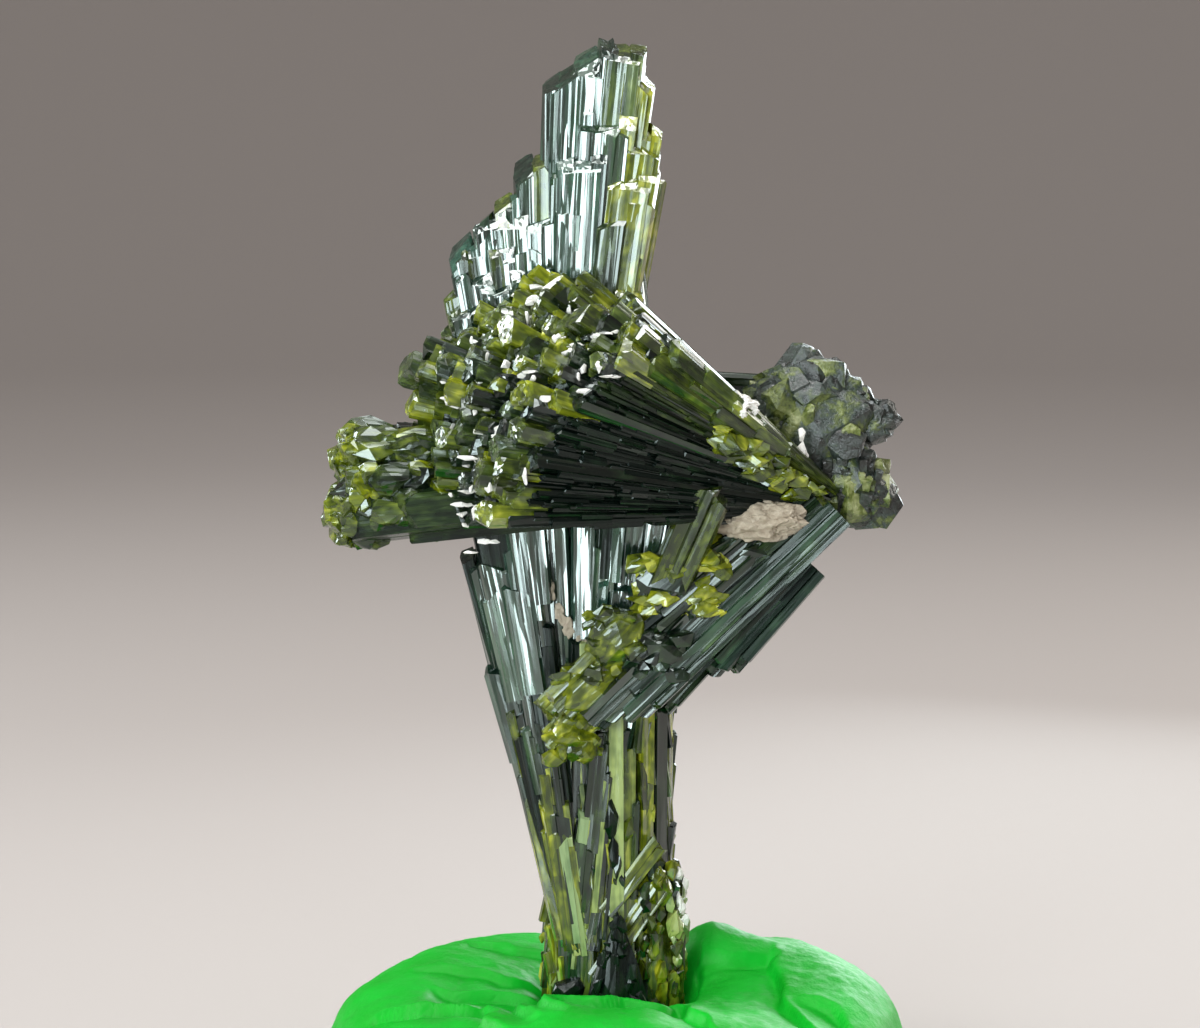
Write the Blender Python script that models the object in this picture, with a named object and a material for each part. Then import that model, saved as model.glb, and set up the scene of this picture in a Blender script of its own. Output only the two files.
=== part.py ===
"""Epidote crystal cluster standing in a patty of modelling putty. Metres, +Z up.

The origin is under the middle of the putty, on the surface that it rests on.
+X is to the right and -Y towards the viewer. Sizes below are in millimetres.
The cluster grew as one piece, so its crystals are joined in one solid.
"""

import math
import random

import bmesh
import bpy
from mathutils import Matrix, Vector

MM = 0.001
FRONT = Vector((0, -1, 0))

# Crystal form: a flattened six-sided prism with a blunt bevelled end
FLAT_SHARE = 0.36
BEVEL_SHARE = 0.28
END_WIDTH = 0.80
END_DEPTH = 0.50

# Upright fan. Blades radiate from the focus: tip x, tip z, width, slope of the end
FAN_FOCUS = (-3.05, 15.0)
FAN_ROOT_Z = 24.0
FAN_BACK = (
    (-6.75, 35.4, 1.3, 0.5),
    (-6.35, 37.4, 1.6, 0.6),
    (-5.35, 38.6, 1.7, 0.5),
    (-4.55, 39.2, 1.5, 0.4),
    (-3.65, 40.6, 1.6, 0.6),
    (-1.60, 44.6, 3.1, 0.5),
    (0.15, 45.5, 2.0, -0.1),
    (0.80, 44.4, 1.4, -0.8),
    (1.25, 42.3, 1.1, -0.6),
)
FAN_FRONT = (
    (-6.00, 36.2, 1.8, 0.4),
    (-4.70, 37.2, 1.8, 0.2),
    (-3.50, 38.6, 1.8, 0.3),
    (-2.00, 40.9, 1.9, 0.4),
    (-0.40, 42.6, 2.4, 0.1),
    (0.85, 41.6, 1.7, -0.1),
)
FAN_FACE = (
    (-6.40, 34.9, 1.7, 0.2),
    (-5.00, 35.8, 1.9, 0.2),
    (-3.70, 36.4, 1.9, 0.0),
    (-1.60, 41.0, 2.2, 0.1),
    (0.55, 40.3, 2.1, 0.2),
)
FAN_REAR = (
    (-5.60, 35.2, 2.3, 0.4),
    (-3.80, 37.6, 2.2, 0.3),
    (-1.90, 41.6, 2.3, 0.4),
    (-0.10, 43.2, 2.0, -0.2),
)
FAN_LAYERS = (
    (FAN_BACK, 1.5, 2.6),
    (FAN_FRONT, 0.8, 2.5),
    (FAN_FACE, 0.2, 2.3),
    (FAN_REAR, 2.6, 2.2),
)

# Lower fan, below the cross sheaf. Its blades radiate too: tip x, tip z, tip y
SKIRT_FOCUS = (-1.7, 7.0)
SKIRT_ROOT_Z = 11.0
SKIRT_WIDTH = 1.9
SKIRT_DEPTH = 1.9
SKIRT = (
    (-5.75, 24.6, -0.5),
    (-5.35, 26.2, -1.1),
    (-4.40, 28.0, -1.3),
    (-3.30, 28.5, -0.7),
    (-2.00, 28.5, 0.4),
    (-0.90, 28.5, -0.8),
    (0.30, 28.5, -1.2),
    (1.50, 28.5, -0.9),
    (2.30, 28.0, 0.4),
    (-4.90, 27.0, 2.2),
    (-2.60, 29.0, 3.0),
    (-0.20, 28.5, 3.1),
    (1.70, 28.0, 2.3),
)

# Trunk: rods round a middle line
TRUNK_MIDDLE = (-0.5, 0.2)
TRUNK_RADII = (2.1, 1.9)
TRUNK_BOTTOM = 2.9
TRUNK_RODS = 11
TRUNK_ROD_WIDTH = 1.6
TRUNK_ROD_DEPTH = 1.3
TRUNK_TOP_RANGE = (15.0, 21.0)

# Cross sheaf: a bouquet of crystals that spreads from the right to the left and front
CROSS_FOCUS = Vector((10.2, -0.4, 26.1))
CROSS_STUB = 1.7
CROSS_RISE = (2.0, 40.0)
CROSS_ROWS = 9
CROSS_TURN = (3.0, 27.0)
CROSS_COLUMNS = 5
# Length at angles above the horizontal, along the rear and along the front
CROSS_REAR_REACH = (
    (0.0, 17.8), (10.0, 19.4), (18.0, 20.1),
    (26.0, 18.9), (36.0, 17.2), (41.0, 14.2),
)
CROSS_FRONT_REACH = ((0.0, 17.2), (20.0, 16.2), (41.0, 13.2))
CROSS_WIDTH = 1.75
CROSS_HEART_SHARE = 0.92

# Two-lobed crystal at the left end: tip, root, height, depth
LEFT_LOBES = (
    ((-11.3, -1.4, 28.9), (-1.0, -1.0, 28.4), 2.2, 2.3),
    ((-10.7, -2.8, 28.8), (-1.0, -1.8, 28.0), 1.9, 1.9),
    ((-12.0, -1.9, 26.6), (-1.0, -1.4, 27.7), 2.4, 2.5),
    ((-11.3, -3.4, 26.2), (-1.0, -2.4, 27.4), 2.2, 2.0),
    ((-10.2, -2.0, 25.8), (-1.0, -1.6, 27.2), 1.9, 2.4),
    ((-10.6, -2.3, 27.7), (-1.0, -1.6, 27.6), 2.0, 2.6),
)

# Diagonal sheaf and single rods: tip, root, width, depth
DIAGONAL = (
    ((-3.1, -2.9, 17.8), (4.4, -1.6, 25.0), 1.7, 1.9),
    ((-3.0, -2.6, 16.5), (3.0, -1.4, 22.2), 1.5, 1.9),
    ((-1.6, -3.3, 17.3), (4.0, -2.6, 22.8), 1.4, 1.6),
    ((0.1, -3.3, 17.9), (9.0, -1.9, 26.2), 1.6, 1.8),
    ((-0.6, -3.0, 19.6), (8.2, -1.5, 26.6), 1.7, 1.9),
    ((1.2, -3.2, 21.6), (7.4, -1.3, 26.6), 1.6, 1.8),
    ((2.6, -2.6, 23.4), (7.2, -1.2, 26.8), 1.7, 1.8),
    ((3.8, -2.7, 19.4), (8.0, -1.5, 23.9), 1.4, 1.5),
    ((1.0, -1.2, 17.8), (8.2, 0.2, 25.4), 1.9, 2.2),
    ((0.6, 0.8, 18.8), (8.2, 1.3, 26.6), 1.9, 2.2),
)
SINGLE_RODS = (
    ((3.9, -1.2, 28.6), (0.6, -1.8, 21.8), 1.9, 1.6),
    ((-1.5, 1.7, 31.6), (8.0, 1.1, 31.2), 1.1, 1.3),
    ((1.9, -1.5, 10.8), (-1.0, -1.9, 6.6), 1.0, 1.0),
    ((1.7, -1.6, 12.4), (-0.6, -1.9, 9.4), 0.9, 1.0),
)

# Rounded or broken lumps: middle, half sizes
LUMPS = (
    ((-10.2, -2.1, 28.8), (1.5, 1.7, 1.4)),
    ((-10.5, -2.6, 26.5), (1.6, 2.0, 1.6)),
    ((-0.1, -3.1, 21.2), (1.8, 1.2, 1.5)),
    ((-1.3, -2.9, 18.9), (1.9, 1.2, 1.5)),
    ((-2.0, -2.7, 17.0), (1.5, 1.2, 1.1)),
    ((2.2, -2.8, 23.3), (1.9, 1.1, 1.5)),
    ((1.5, -3.2, 20.6), (1.5, 1.1, 1.5)),
    ((5.2, -1.9, 25.1), (2.3, 1.1, 1.2)),
    ((4.8, -0.4, 25.6), (2.6, 1.5, 2.0)),
    ((5.5, -0.9, 26.6), (2.4, 1.2, 1.3)),
    ((8.3, 0.2, 29.6), (3.0, 2.0, 2.9)),
    ((7.9, 0.5, 30.8), (2.3, 1.8, 1.9)),
    ((6.6, 0.3, 30.5), (1.5, 1.6, 1.5)),
    ((9.6, 0.1, 27.4), (1.5, 1.6, 1.9)),
    ((10.6, 0.0, 30.1), (0.9, 0.8, 0.9)),
    ((9.9, -0.1, 26.8), (1.3, 1.4, 1.0)),
    ((4.7, -0.3, 30.5), (0.8, 0.8, 0.8)),
    ((-2.4, -1.6, 5.4), (1.1, 1.3, 1.9)),
)
LUMP_POINTS = 24
LUMP_SEED = 3

# Solid hearts that fill the sheaves behind their crystals: points x, y, z
FAN_HEART = (
    (-3.0, 0.0, 12.0), (1.6, 0.0, 12.0), (-3.0, 2.2, 12.0), (1.6, 2.2, 12.0),
    (-5.4, 0.2, 25.0), (2.4, 0.2, 25.0), (-5.0, 2.8, 25.0), (2.2, 2.6, 25.0),
    (-6.6, 0.2, 34.2), (0.7, 0.0, 39.4), (-6.2, 2.6, 34.0), (0.7, 2.6, 39.4),
    (-2.3, 0.9, 43.0), (0.6, 0.7, 43.6), (-2.2, 2.2, 43.0), (0.6, 2.2, 43.6),
)
FOOT = (
    (0.0, -2.2, 3.2), (0.0, 2.0, 3.2), (2.0, -1.3, 3.2), (2.0, 1.2, 3.2),
    (2.9, -1.0, 5.8), (2.9, 0.9, 5.8), (3.0, -0.7, 8.2), (2.9, 0.8, 8.2),
    (2.2, -0.8, 11.8), (2.2, 0.7, 11.8), (0.0, -1.6, 12.0), (0.0, 1.6, 12.0),
    (1.6, -1.9, 8.6), (1.8, -2.0, 5.4),
)
BLACK_WEDGE = (
    (0.0, -2.0, 9.8), (-1.3, -2.5, 5.4), (0.9, -2.7, 5.4), (-0.3, -3.1, 5.0),
    (0.5, -2.2, 8.0), (-0.9, -0.6, 5.0), (1.0, -0.6, 5.0), (0.0, -0.6, 9.0),
)
TRUNK_HEART_RADIUS = 1.8
TRUNK_HEART_TOP = 24.0
TRUNK_HEART_SIDES = 8

# Putty patty: profile radius and z, from the rim of the socket out and down
PUTTY_PROFILE = (
    (3.6, 6.0), (6.0, 6.2), (8.4, 6.3), (10.4, 5.7),
    (11.8, 4.5), (12.3, 2.9), (11.7, 1.1), (10.6, 0.0),
)
PUTTY_STEPS = 30
PUTTY_MIDDLE_Z = 5.9
PUTTY_SWELL = 0.05
SOCKET_GAP = 0.5
SOCKET_REACH_Z = 8.5


def clear_scene():
    for old in list(bpy.data.objects):
        bpy.data.objects.remove(old)


def mesh_object(name, shape):
    """Turns a bmesh in millimetres into an object in metres."""
    bmesh.ops.recalc_face_normals(shape, faces=shape.faces)
    bmesh.ops.scale(shape, vec=(MM, MM, MM), verts=shape.verts)
    mesh = bpy.data.meshes.new(name)
    shape.to_mesh(mesh)
    shape.free()
    obj = bpy.data.objects.new(name, mesh)
    bpy.context.scene.collection.objects.link(obj)
    return obj


def section(width, depth):
    """Six-sided cross-section of a prism, broad across and flat front and back."""
    half, flat, thick = width / 2, width * FLAT_SHARE, depth / 2
    return (
        (half, 0), (flat, thick), (-flat, thick),
        (-half, 0), (-flat, -thick), (flat, -thick),
    )


def crystal(tip, root, width, depth, facing=FRONT, slope=0.0, turn=0.0, root_share=0.9):
    """A prism from root to tip with a bevelled end. A slope raises the end's right side."""
    tip, root = Vector(tip), Vector(root)
    along = (tip - root).normalized()
    across = Matrix.Rotation(turn, 3, along) @ along.cross(facing).normalized()
    out = across.cross(along)
    length = (tip - root).length
    bevel = BEVEL_SHARE * depth
    rings = (
        (0, root_share, root_share, 0),
        (length - bevel, 1, 1, slope),
        (length, END_WIDTH, END_DEPTH, slope),
    )
    shape = bmesh.new()
    made = []
    for height, share_x, share_y, slant in rings:
        ring = []
        for x, y in section(width, depth):
            x, y = x * share_x, y * share_y
            point = root + along * (height + slant * x) + across * x + out * y
            ring.append(shape.verts.new(point))
        made.append(ring)
    shape.faces.new(made[0])
    shape.faces.new(made[-1])
    sides = len(made[0])
    for low, high in zip(made, made[1:]):
        for i in range(sides):
            j = (i + 1) % sides
            shape.faces.new((low[i], low[j], high[j], high[i]))
    return mesh_object("crystal", shape)


def hull(points, name="hull"):
    shape = bmesh.new()
    for point in points:
        shape.verts.new(point)
    made = bmesh.ops.convex_hull(shape, input=shape.verts)
    unused = set(made["geom_interior"] + made["geom_unused"])
    points_left_out = [item for item in unused if isinstance(item, bmesh.types.BMVert)]
    bmesh.ops.delete(shape, geom=points_left_out, context="VERTS")
    return mesh_object(name, shape)


def lumps():
    """Broken lumps: each is the hull of points scattered near an ellipsoid."""
    draw = random.Random(LUMP_SEED)
    made = []
    for middle, sizes in LUMPS:
        points = []
        for _ in range(LUMP_POINTS):
            way = Vector([draw.gauss(0, 1) for _ in range(3)]).normalized()
            reach = draw.uniform(0.88, 1.1)
            spot = [w * s * reach for w, s in zip(way, sizes)]
            points.append(Vector(middle) + Vector(spot))
        made.append(hull(points))
    return made


def radial_root(focus, x, z, root_z):
    """Where the line from the focus to a tip crosses the height of the roots."""
    return focus[0] + (x - focus[0]) * (root_z - focus[1]) / (z - focus[1])


def fan_crystals():
    draw = random.Random(4)
    made = []
    for blades, layer_y, depth in FAN_LAYERS:
        for x, z, width, slope in blades:
            y = layer_y + draw.uniform(-0.2, 0.2)
            turn = math.radians(draw.uniform(-7, 7))
            root = (radial_root(FAN_FOCUS, x, z, FAN_ROOT_Z), 0.6 * y + 0.4, FAN_ROOT_Z)
            made.append(crystal((x, y, z), root, width, depth, slope=slope, turn=turn))
    return made


def skirt_crystals():
    draw = random.Random(5)
    made = []
    for x, z, y in SKIRT:
        turn = math.radians(draw.uniform(-12, 12))
        root = (radial_root(SKIRT_FOCUS, x, z, SKIRT_ROOT_Z), 0.8 * y, SKIRT_ROOT_Z)
        made.append(crystal((x, y, z), root, SKIRT_WIDTH, SKIRT_DEPTH, turn=turn, root_share=0.6))
    return made


def trunk_crystals():
    draw = random.Random(8)
    made = []
    for i in range(TRUNK_RODS):
        angle = 2 * math.pi * i / TRUNK_RODS
        x = TRUNK_MIDDLE[0] + TRUNK_RADII[0] * math.cos(angle)
        y = TRUNK_MIDDLE[1] + TRUNK_RADII[1] * math.sin(angle)
        top = (x, y, draw.uniform(*TRUNK_TOP_RANGE))
        foot = (x, y, TRUNK_BOTTOM + draw.uniform(0, 0.9))
        facing = Vector((math.cos(angle), math.sin(angle), 0))
        made.append(crystal(top, foot, TRUNK_ROD_WIDTH, TRUNK_ROD_DEPTH, facing=facing))
    heart = []
    for height in (TRUNK_BOTTOM + 0.6, TRUNK_HEART_TOP):
        for i in range(TRUNK_HEART_SIDES):
            angle = 2 * math.pi * i / TRUNK_HEART_SIDES
            x = TRUNK_MIDDLE[0] + TRUNK_HEART_RADIUS * math.cos(angle)
            y = TRUNK_MIDDLE[1] + TRUNK_HEART_RADIUS * math.sin(angle)
            heart.append((x, y, height))
    made.append(hull(heart))
    return made


def length_at(table, rise):
    """Interpolates a table of lengths at angles above the horizontal."""
    for (low, short), (high, far) in zip(table, table[1:]):
        if rise <= high:
            return short + (far - short) * (rise - low) / (high - low)
    return table[-1][1]


def cross_ray(rise, turn):
    """Direction and length of the cross sheaf's crystals at two angles in degrees."""
    front = (turn - CROSS_TURN[0]) / (CROSS_TURN[1] - CROSS_TURN[0])
    rear, near = length_at(CROSS_REAR_REACH, rise), length_at(CROSS_FRONT_REACH, rise)
    a, b = math.radians(rise), math.radians(turn)
    way = Vector((-math.cos(a) * math.cos(b), -math.sin(b), math.sin(a) * math.cos(b)))
    return way, rear + (near - rear) * front


def cross_crystals():
    draw = random.Random(21)
    made, heart = [], []
    for row in range(CROSS_ROWS):
        for column in range(CROSS_COLUMNS):
            rise = CROSS_RISE[0] + (CROSS_RISE[1] - CROSS_RISE[0]) * row / (CROSS_ROWS - 1)
            across = (column + 0.5 * (row % 2)) / (CROSS_COLUMNS - 0.5)
            turn = CROSS_TURN[0] + (CROSS_TURN[1] - CROSS_TURN[0]) * across
            way, reach = cross_ray(rise, turn)
            start = CROSS_FOCUS + way * CROSS_STUB
            heart.append(start)
            heart.append(CROSS_FOCUS + way * reach * CROSS_HEART_SHARE)
            rise, turn = rise + draw.uniform(-1.5, 1.5), turn + draw.uniform(-1.5, 1.5)
            way, reach = cross_ray(rise, turn)
            tip = CROSS_FOCUS + way * (reach - draw.uniform(0, 1.0))
            width = CROSS_WIDTH * draw.uniform(0.85, 1.1)
            spin = draw.uniform(0, math.pi)
            made.append(crystal(tip, start, width, width * 0.9, turn=spin, root_share=0.35))
    return made + [hull(heart)]


def rod_crystals():
    return [crystal(*rod) for rod in LEFT_LOBES + DIAGONAL + SINGLE_RODS]


def largest_body(mesh):
    """Keeps the outer surface of a joined mesh, so that no sealed hollow is left in it."""
    shape = bmesh.new()
    shape.from_mesh(mesh)
    left = set(shape.faces)
    bodies = []
    while left:
        todo = [left.pop()]
        body = []
        while todo:
            face = todo.pop()
            body.append(face)
            for edge in face.edges:
                for other in edge.link_faces:
                    if other in left:
                        left.remove(other)
                        todo.append(other)
        bodies.append(body)
    bodies.sort(key=len)
    inner = [face for body in bodies[:-1] for face in body]
    bmesh.ops.delete(shape, geom=inner, context="FACES")
    shape.to_mesh(mesh)
    shape.free()


def joined(name, solids):
    """One solid from many overlapping ones."""
    first, rest = solids[0], solids[1:]
    helpers = bpy.data.collections.new(name + "_parts")
    bpy.context.scene.collection.children.link(helpers)
    for solid in rest:
        bpy.context.scene.collection.objects.unlink(solid)
        helpers.objects.link(solid)
    union = first.modifiers.new("union", "BOOLEAN")
    union.operation = "UNION"
    union.operand_type = "COLLECTION"
    union.collection = helpers
    # The exact solver leaves open edges where this many crystals cross
    union.solver = "MANIFOLD"
    bpy.context.view_layer.update()
    graph = bpy.context.evaluated_depsgraph_get()
    mesh = bpy.data.meshes.new_from_object(first.evaluated_get(graph))
    for solid in solids:
        bpy.data.objects.remove(solid)
    bpy.data.collections.remove(helpers)
    largest_body(mesh)
    mesh.name = name
    obj = bpy.data.objects.new(name, mesh)
    bpy.context.scene.collection.objects.link(obj)
    return obj


def epidote_cluster():
    solids = [hull(FAN_HEART), hull(FOOT), hull(BLACK_WEDGE)]
    solids += fan_crystals() + skirt_crystals() + trunk_crystals()
    solids += cross_crystals() + rod_crystals() + lumps()
    return joined("epidote_cluster", solids)


def putty_radius(angle):
    """The patty isn't round: it was pressed by hand, and bulges at the right."""
    return 1 + 0.03 * math.sin(2 * angle + 0.6) + 0.02 * math.sin(3 * angle - 1.0)


def putty_patty():
    shape = bmesh.new()
    top = shape.verts.new((0, 0, PUTTY_MIDDLE_Z))
    rings = []
    for radius, z in PUTTY_PROFILE:
        ring = []
        for i in range(PUTTY_STEPS):
            angle = 2 * math.pi * i / PUTTY_STEPS
            wide = radius * putty_radius(angle)
            lift = PUTTY_SWELL * z * math.sin(3 * angle + 0.8)
            ring.append(shape.verts.new((wide * math.cos(angle), wide * math.sin(angle), z + lift)))
        rings.append(ring)
    for i in range(PUTTY_STEPS):
        j = (i + 1) % PUTTY_STEPS
        shape.faces.new((top, rings[0][i], rings[0][j]))
        for high, low in zip(rings, rings[1:]):
            shape.faces.new((high[i], low[i], low[j], high[j]))
    shape.faces.new(list(reversed(rings[-1])))
    return mesh_object("putty_base", shape)


def socket_cutter(cluster):
    """The foot's hull, a little larger, so that the putty clears the crystal."""
    foot = [v.co / MM for v in cluster.data.vertices if v.co.z < SOCKET_REACH_Z * MM]
    for height in (TRUNK_BOTTOM, SOCKET_REACH_Z):
        for i in range(TRUNK_RODS):
            angle = 2 * math.pi * i / TRUNK_RODS
            x = TRUNK_MIDDLE[0] + (TRUNK_RADII[0] + TRUNK_ROD_DEPTH / 2) * math.cos(angle)
            y = TRUNK_MIDDLE[1] + (TRUNK_RADII[1] + TRUNK_ROD_DEPTH / 2) * math.sin(angle)
            foot.append(Vector((x, y, height)))
    middle = sum(foot, Vector()) / len(foot)
    spread = [p + (p - middle).normalized() * SOCKET_GAP for p in foot]
    cutter = hull(spread, "socket_cutter")
    cutter.hide_render = True
    cutter.display_type = "WIRE"
    return cutter


def material(name, colour, roughness):
    made = bpy.data.materials.new(name)
    made.use_nodes = True
    shader = made.node_tree.nodes["Principled BSDF"]
    shader.inputs["Base Color"].default_value = (*colour, 1)
    shader.inputs["Roughness"].default_value = roughness
    shader.inputs["Metallic"].default_value = 0.0
    return made


def main():
    clear_scene()
    cluster = epidote_cluster()
    cluster.data.materials.clear()
    cluster.data.materials.append(material("epidote", (0.035, 0.055, 0.012), 0.22))
    putty = putty_patty()
    putty.data.materials.append(material("putty", (0.0, 0.55, 0.06), 0.5))
    cut = putty.modifiers.new("socket", "BOOLEAN")
    cut.operation = "DIFFERENCE"
    cut.object = socket_cutter(cluster)
    cut.solver = "EXACT"


main()
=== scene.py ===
import math
import random

import bpy
import bmesh
from mathutils import Matrix, Vector, noise


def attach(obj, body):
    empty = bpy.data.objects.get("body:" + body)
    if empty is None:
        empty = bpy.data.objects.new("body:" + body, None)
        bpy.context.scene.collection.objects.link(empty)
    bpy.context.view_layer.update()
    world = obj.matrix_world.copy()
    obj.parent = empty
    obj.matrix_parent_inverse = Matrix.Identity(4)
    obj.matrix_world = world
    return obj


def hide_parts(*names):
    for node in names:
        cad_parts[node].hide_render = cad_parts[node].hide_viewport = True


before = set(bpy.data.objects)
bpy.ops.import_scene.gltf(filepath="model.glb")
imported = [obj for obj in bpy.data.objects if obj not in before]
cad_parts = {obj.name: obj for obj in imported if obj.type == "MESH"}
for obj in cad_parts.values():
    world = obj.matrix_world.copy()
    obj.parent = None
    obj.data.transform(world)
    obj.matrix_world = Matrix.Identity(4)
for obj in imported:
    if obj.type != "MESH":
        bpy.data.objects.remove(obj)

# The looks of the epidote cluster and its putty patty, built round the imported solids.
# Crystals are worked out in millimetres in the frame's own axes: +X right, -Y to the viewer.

MM = 0.001
FRONT = Vector((0, -1, 0))
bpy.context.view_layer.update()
# Each group of solids seeds it anew, so that no group changes another
draw = random.Random()

# Tones of the crystals: how light the body is, how yellow, how much light passes
# Pale is the tone of pale grains, and also a painted highlight on the upper right of the foot
PALE_AND_HIGHLIGHT = (0.95, 0.45, 0.2)
TEAL = (0.40, 0.08, 0.05)
DARK = (0.16, 0.45, 0.0)
# Black is the black grains' own tone, and also painted shade in the recess, on the sheaf's front side and
# heart, and on the lobes' sides
BLACK_AND_SHADE = (0.0, 0.3, 0.0)
GREEN = (0.38, 0.70, 0.15)
OLIVE = (0.44, 0.95, 0.15)
LIME = (0.62, 1.0, 0.4)
MOSSY = (0.42, 0.95, 0.12)


# Crystal forms

GROOVE_STEPS = (0.7, 0.9, 1.2, 2.4)
FLAT_SHARE = 0.36
CORNER_INSET = (0.1, 0.6)
CORNER_TILT = (34, 60)
GRAIN_REACH = (0.88, 1.05)


def grooved_outline(width, depth, step, groove):
    """Cross-section of a striated prism: a flattened hexagon with shallow grooves along it."""
    half, flat, thick = width / 2, width * FLAT_SHARE, depth / 2
    corners = [Vector(c) for c in (
        (half, 0), (flat, thick), (-flat, thick), (-half, 0), (-flat, -thick), (flat, -thick))]
    points = []
    for start, end in zip(corners, corners[1:] + corners[:1]):
        side = end - start
        inward = Vector((-side.y, side.x)).normalized()
        points.append(start + inward * groove * draw.random())
        reach = step * draw.choice(GROOVE_STEPS)
        while reach < side.length - 0.4 * step:
            points.append(start + side * (reach / side.length) + inward * groove * draw.random())
            reach += step * draw.choice(GROOVE_STEPS)
    return points


def ending(width, depth, slope=(0.0, 0.0), corners=3, front=0.0):
    """Planes that cut a crystal's end: a main one, random corners and, if asked, a ledge to the front."""
    planes = [(Vector(), Vector((-slope[0], -slope[1], 1)))]
    first = draw.uniform(0, 2 * math.pi)
    cuts = [(first + 2 * math.pi * (i + swing(0.2)) / corners, draw.uniform(*CORNER_INSET))
            for i in range(corners)]
    if front:
        cuts.append((math.pi / 2 + swing(0.25), front))
    for angle, inset in cuts:
        reach = abs(math.cos(angle)) * width / 2 + abs(math.sin(angle)) * depth / 2
        x, y = math.cos(angle) * reach * (1 - inset), math.sin(angle) * reach * (1 - inset)
        tilt = math.radians(draw.uniform(*CORNER_TILT))
        flat = math.sin(tilt)
        normal = Vector((flat * math.cos(angle), flat * math.sin(angle), math.cos(tilt)))
        planes.append((Vector((x, y, slope[0] * x + slope[1] * y)), normal))
    return planes


def cut(shape, point, normal):
    """Cuts off what lies beyond a plane and closes the cut."""
    everything = shape.verts[:] + shape.edges[:] + shape.faces[:]
    made = bmesh.ops.bisect_plane(
        shape, geom=everything, dist=1e-4, plane_co=point, plane_no=normal, clear_outer=True)
    rim = [item for item in made["geom_cut"] if isinstance(item, bmesh.types.BMEdge)]
    if rim:
        bmesh.ops.edgeloop_fill(shape, edges=rim)


def rod(tip, root, width, depth, tone, facing=FRONT, turn=0.0, root_share=0.9,
        slope=(0.0, 0.0), corners=3, front=0.0, step=0.13, groove=0.03):
    """One striated crystal in millimetres, whose end is cut by a few flat faces."""
    tip, root = Vector(tip), Vector(root)
    along = (tip - root).normalized()
    across = Matrix.Rotation(turn, 3, along) @ along.cross(facing).normalized()
    out = across.cross(along)
    length = (tip - root).length
    outline = grooved_outline(width, depth, step, groove)
    shape = bmesh.new()
    spare = width + depth
    rings = []
    for height, share in ((0, root_share), (length + spare, 1 + (1 - root_share) * spare / length)):
        rings.append([shape.verts.new((p.x * share, p.y * share, height)) for p in outline])
    low, high = rings
    for i in range(len(outline)):
        j = (i + 1) % len(outline)
        shape.faces.new((low[i], low[j], high[j], high[i]))
    shape.faces.new(list(reversed(low)))
    shape.faces.new(high)
    for point, normal in ending(width, depth, slope, corners, front):
        cut(shape, point + Vector((0, 0, length)), normal)
    bmesh.ops.recalc_face_normals(shape, faces=shape.faces)
    turned = Matrix((across, out, along)).transposed()
    for vertex in shape.verts:
        vertex.co = (root + turned @ vertex.co) * MM
    return solid_of(shape, along, tone)


def solid_of(shape, along, tone):
    """A finished bmesh as corners and faces, with its direction and tone."""
    shape.verts.index_update()
    corners = [vertex.co.copy() for vertex in shape.verts]
    faces = [tuple(vertex.index for vertex in face.verts) for face in shape.faces]
    shape.free()
    return corners, faces, along, tone


def hull_mesh(points, tone, along=(0, 0, 1)):
    """The convex hull of points in millimetres."""
    shape = bmesh.new()
    for point in points:
        shape.verts.new(Vector(point) * MM)
    made = bmesh.ops.convex_hull(shape, input=shape.verts)
    unused = set(made["geom_interior"] + made["geom_unused"])
    inside = [item for item in unused if isinstance(item, bmesh.types.BMVert)]
    bmesh.ops.delete(shape, geom=inside, context="VERTS")
    bmesh.ops.recalc_face_normals(shape, faces=shape.faces)
    return solid_of(shape, Vector(along).normalized(), tone)


def any_way():
    """A random direction."""
    return Vector([draw.gauss(0, 1) for _ in range(3)]).normalized()


def on_ellipsoid(middle, sizes, way, reach):
    """The point that lies a share of the way out to an ellipsoid's surface."""
    return Vector(middle) + Vector([w * s * reach for w, s in zip(way, sizes)])


def lump(middle, sizes, tone, count=26, along=(0, 0, 1)):
    """A broken grain: the hull of points scattered near an ellipsoid."""
    points = []
    for _ in range(count):
        way = any_way()
        points.append(on_ellipsoid(middle, sizes, way, draw.uniform(*GRAIN_REACH)))
    return hull_mesh(points, tone, along)


def grain(middle, size, shape, tone, count=12, along=(0, 0, 1)):
    """A small lump: its size, and its width, depth and height for that size."""
    return lump(middle, [size * share for share in shape], tone, count, along)


def added(name, data):
    """A new object of the scene with this mesh, lamp or camera."""
    piece = bpy.data.objects.new(name, data)
    bpy.context.scene.collection.objects.link(piece)
    return piece


def piece_of(shape, name):
    """A finished bmesh as an object of the scene."""
    mesh = bpy.data.meshes.new(name)
    shape.to_mesh(mesh)
    shape.free()
    return added(name, mesh)


def join_rings(shape, rings):
    """Faces between each ring of points and the next."""
    for low, high in zip(rings, rings[1:]):
        for i in range(len(low)):
            j = (i + 1) % len(low)
            shape.faces.new((low[i], high[i], high[j], low[j]))


def gathered(name, solids):
    """Closed solids as one mesh. Each face keeps its crystal's direction and tone."""
    points, faces, ways, tones = [], [], [], []
    for corners, sides, along, tone in solids:
        first = len(points)
        points += corners
        faces += [tuple(first + i for i in side) for side in sides]
        ways += list(along) * len(sides)
        tones += list(tone) * len(sides)
    mesh = bpy.data.meshes.new(name)
    mesh.from_pydata(points, [], faces)
    mesh.attributes.new("axis", "FLOAT_VECTOR", "FACE").data.foreach_set("vector", ways)
    mesh.attributes.new("tone", "FLOAT_VECTOR", "FACE").data.foreach_set("vector", tones)
    return added(name, mesh)


def clamped(value):
    return min(1.0, max(0.0, value))


def swing(reach):
    """A random number up to this far from zero."""
    return draw.uniform(-reach, reach)


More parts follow.
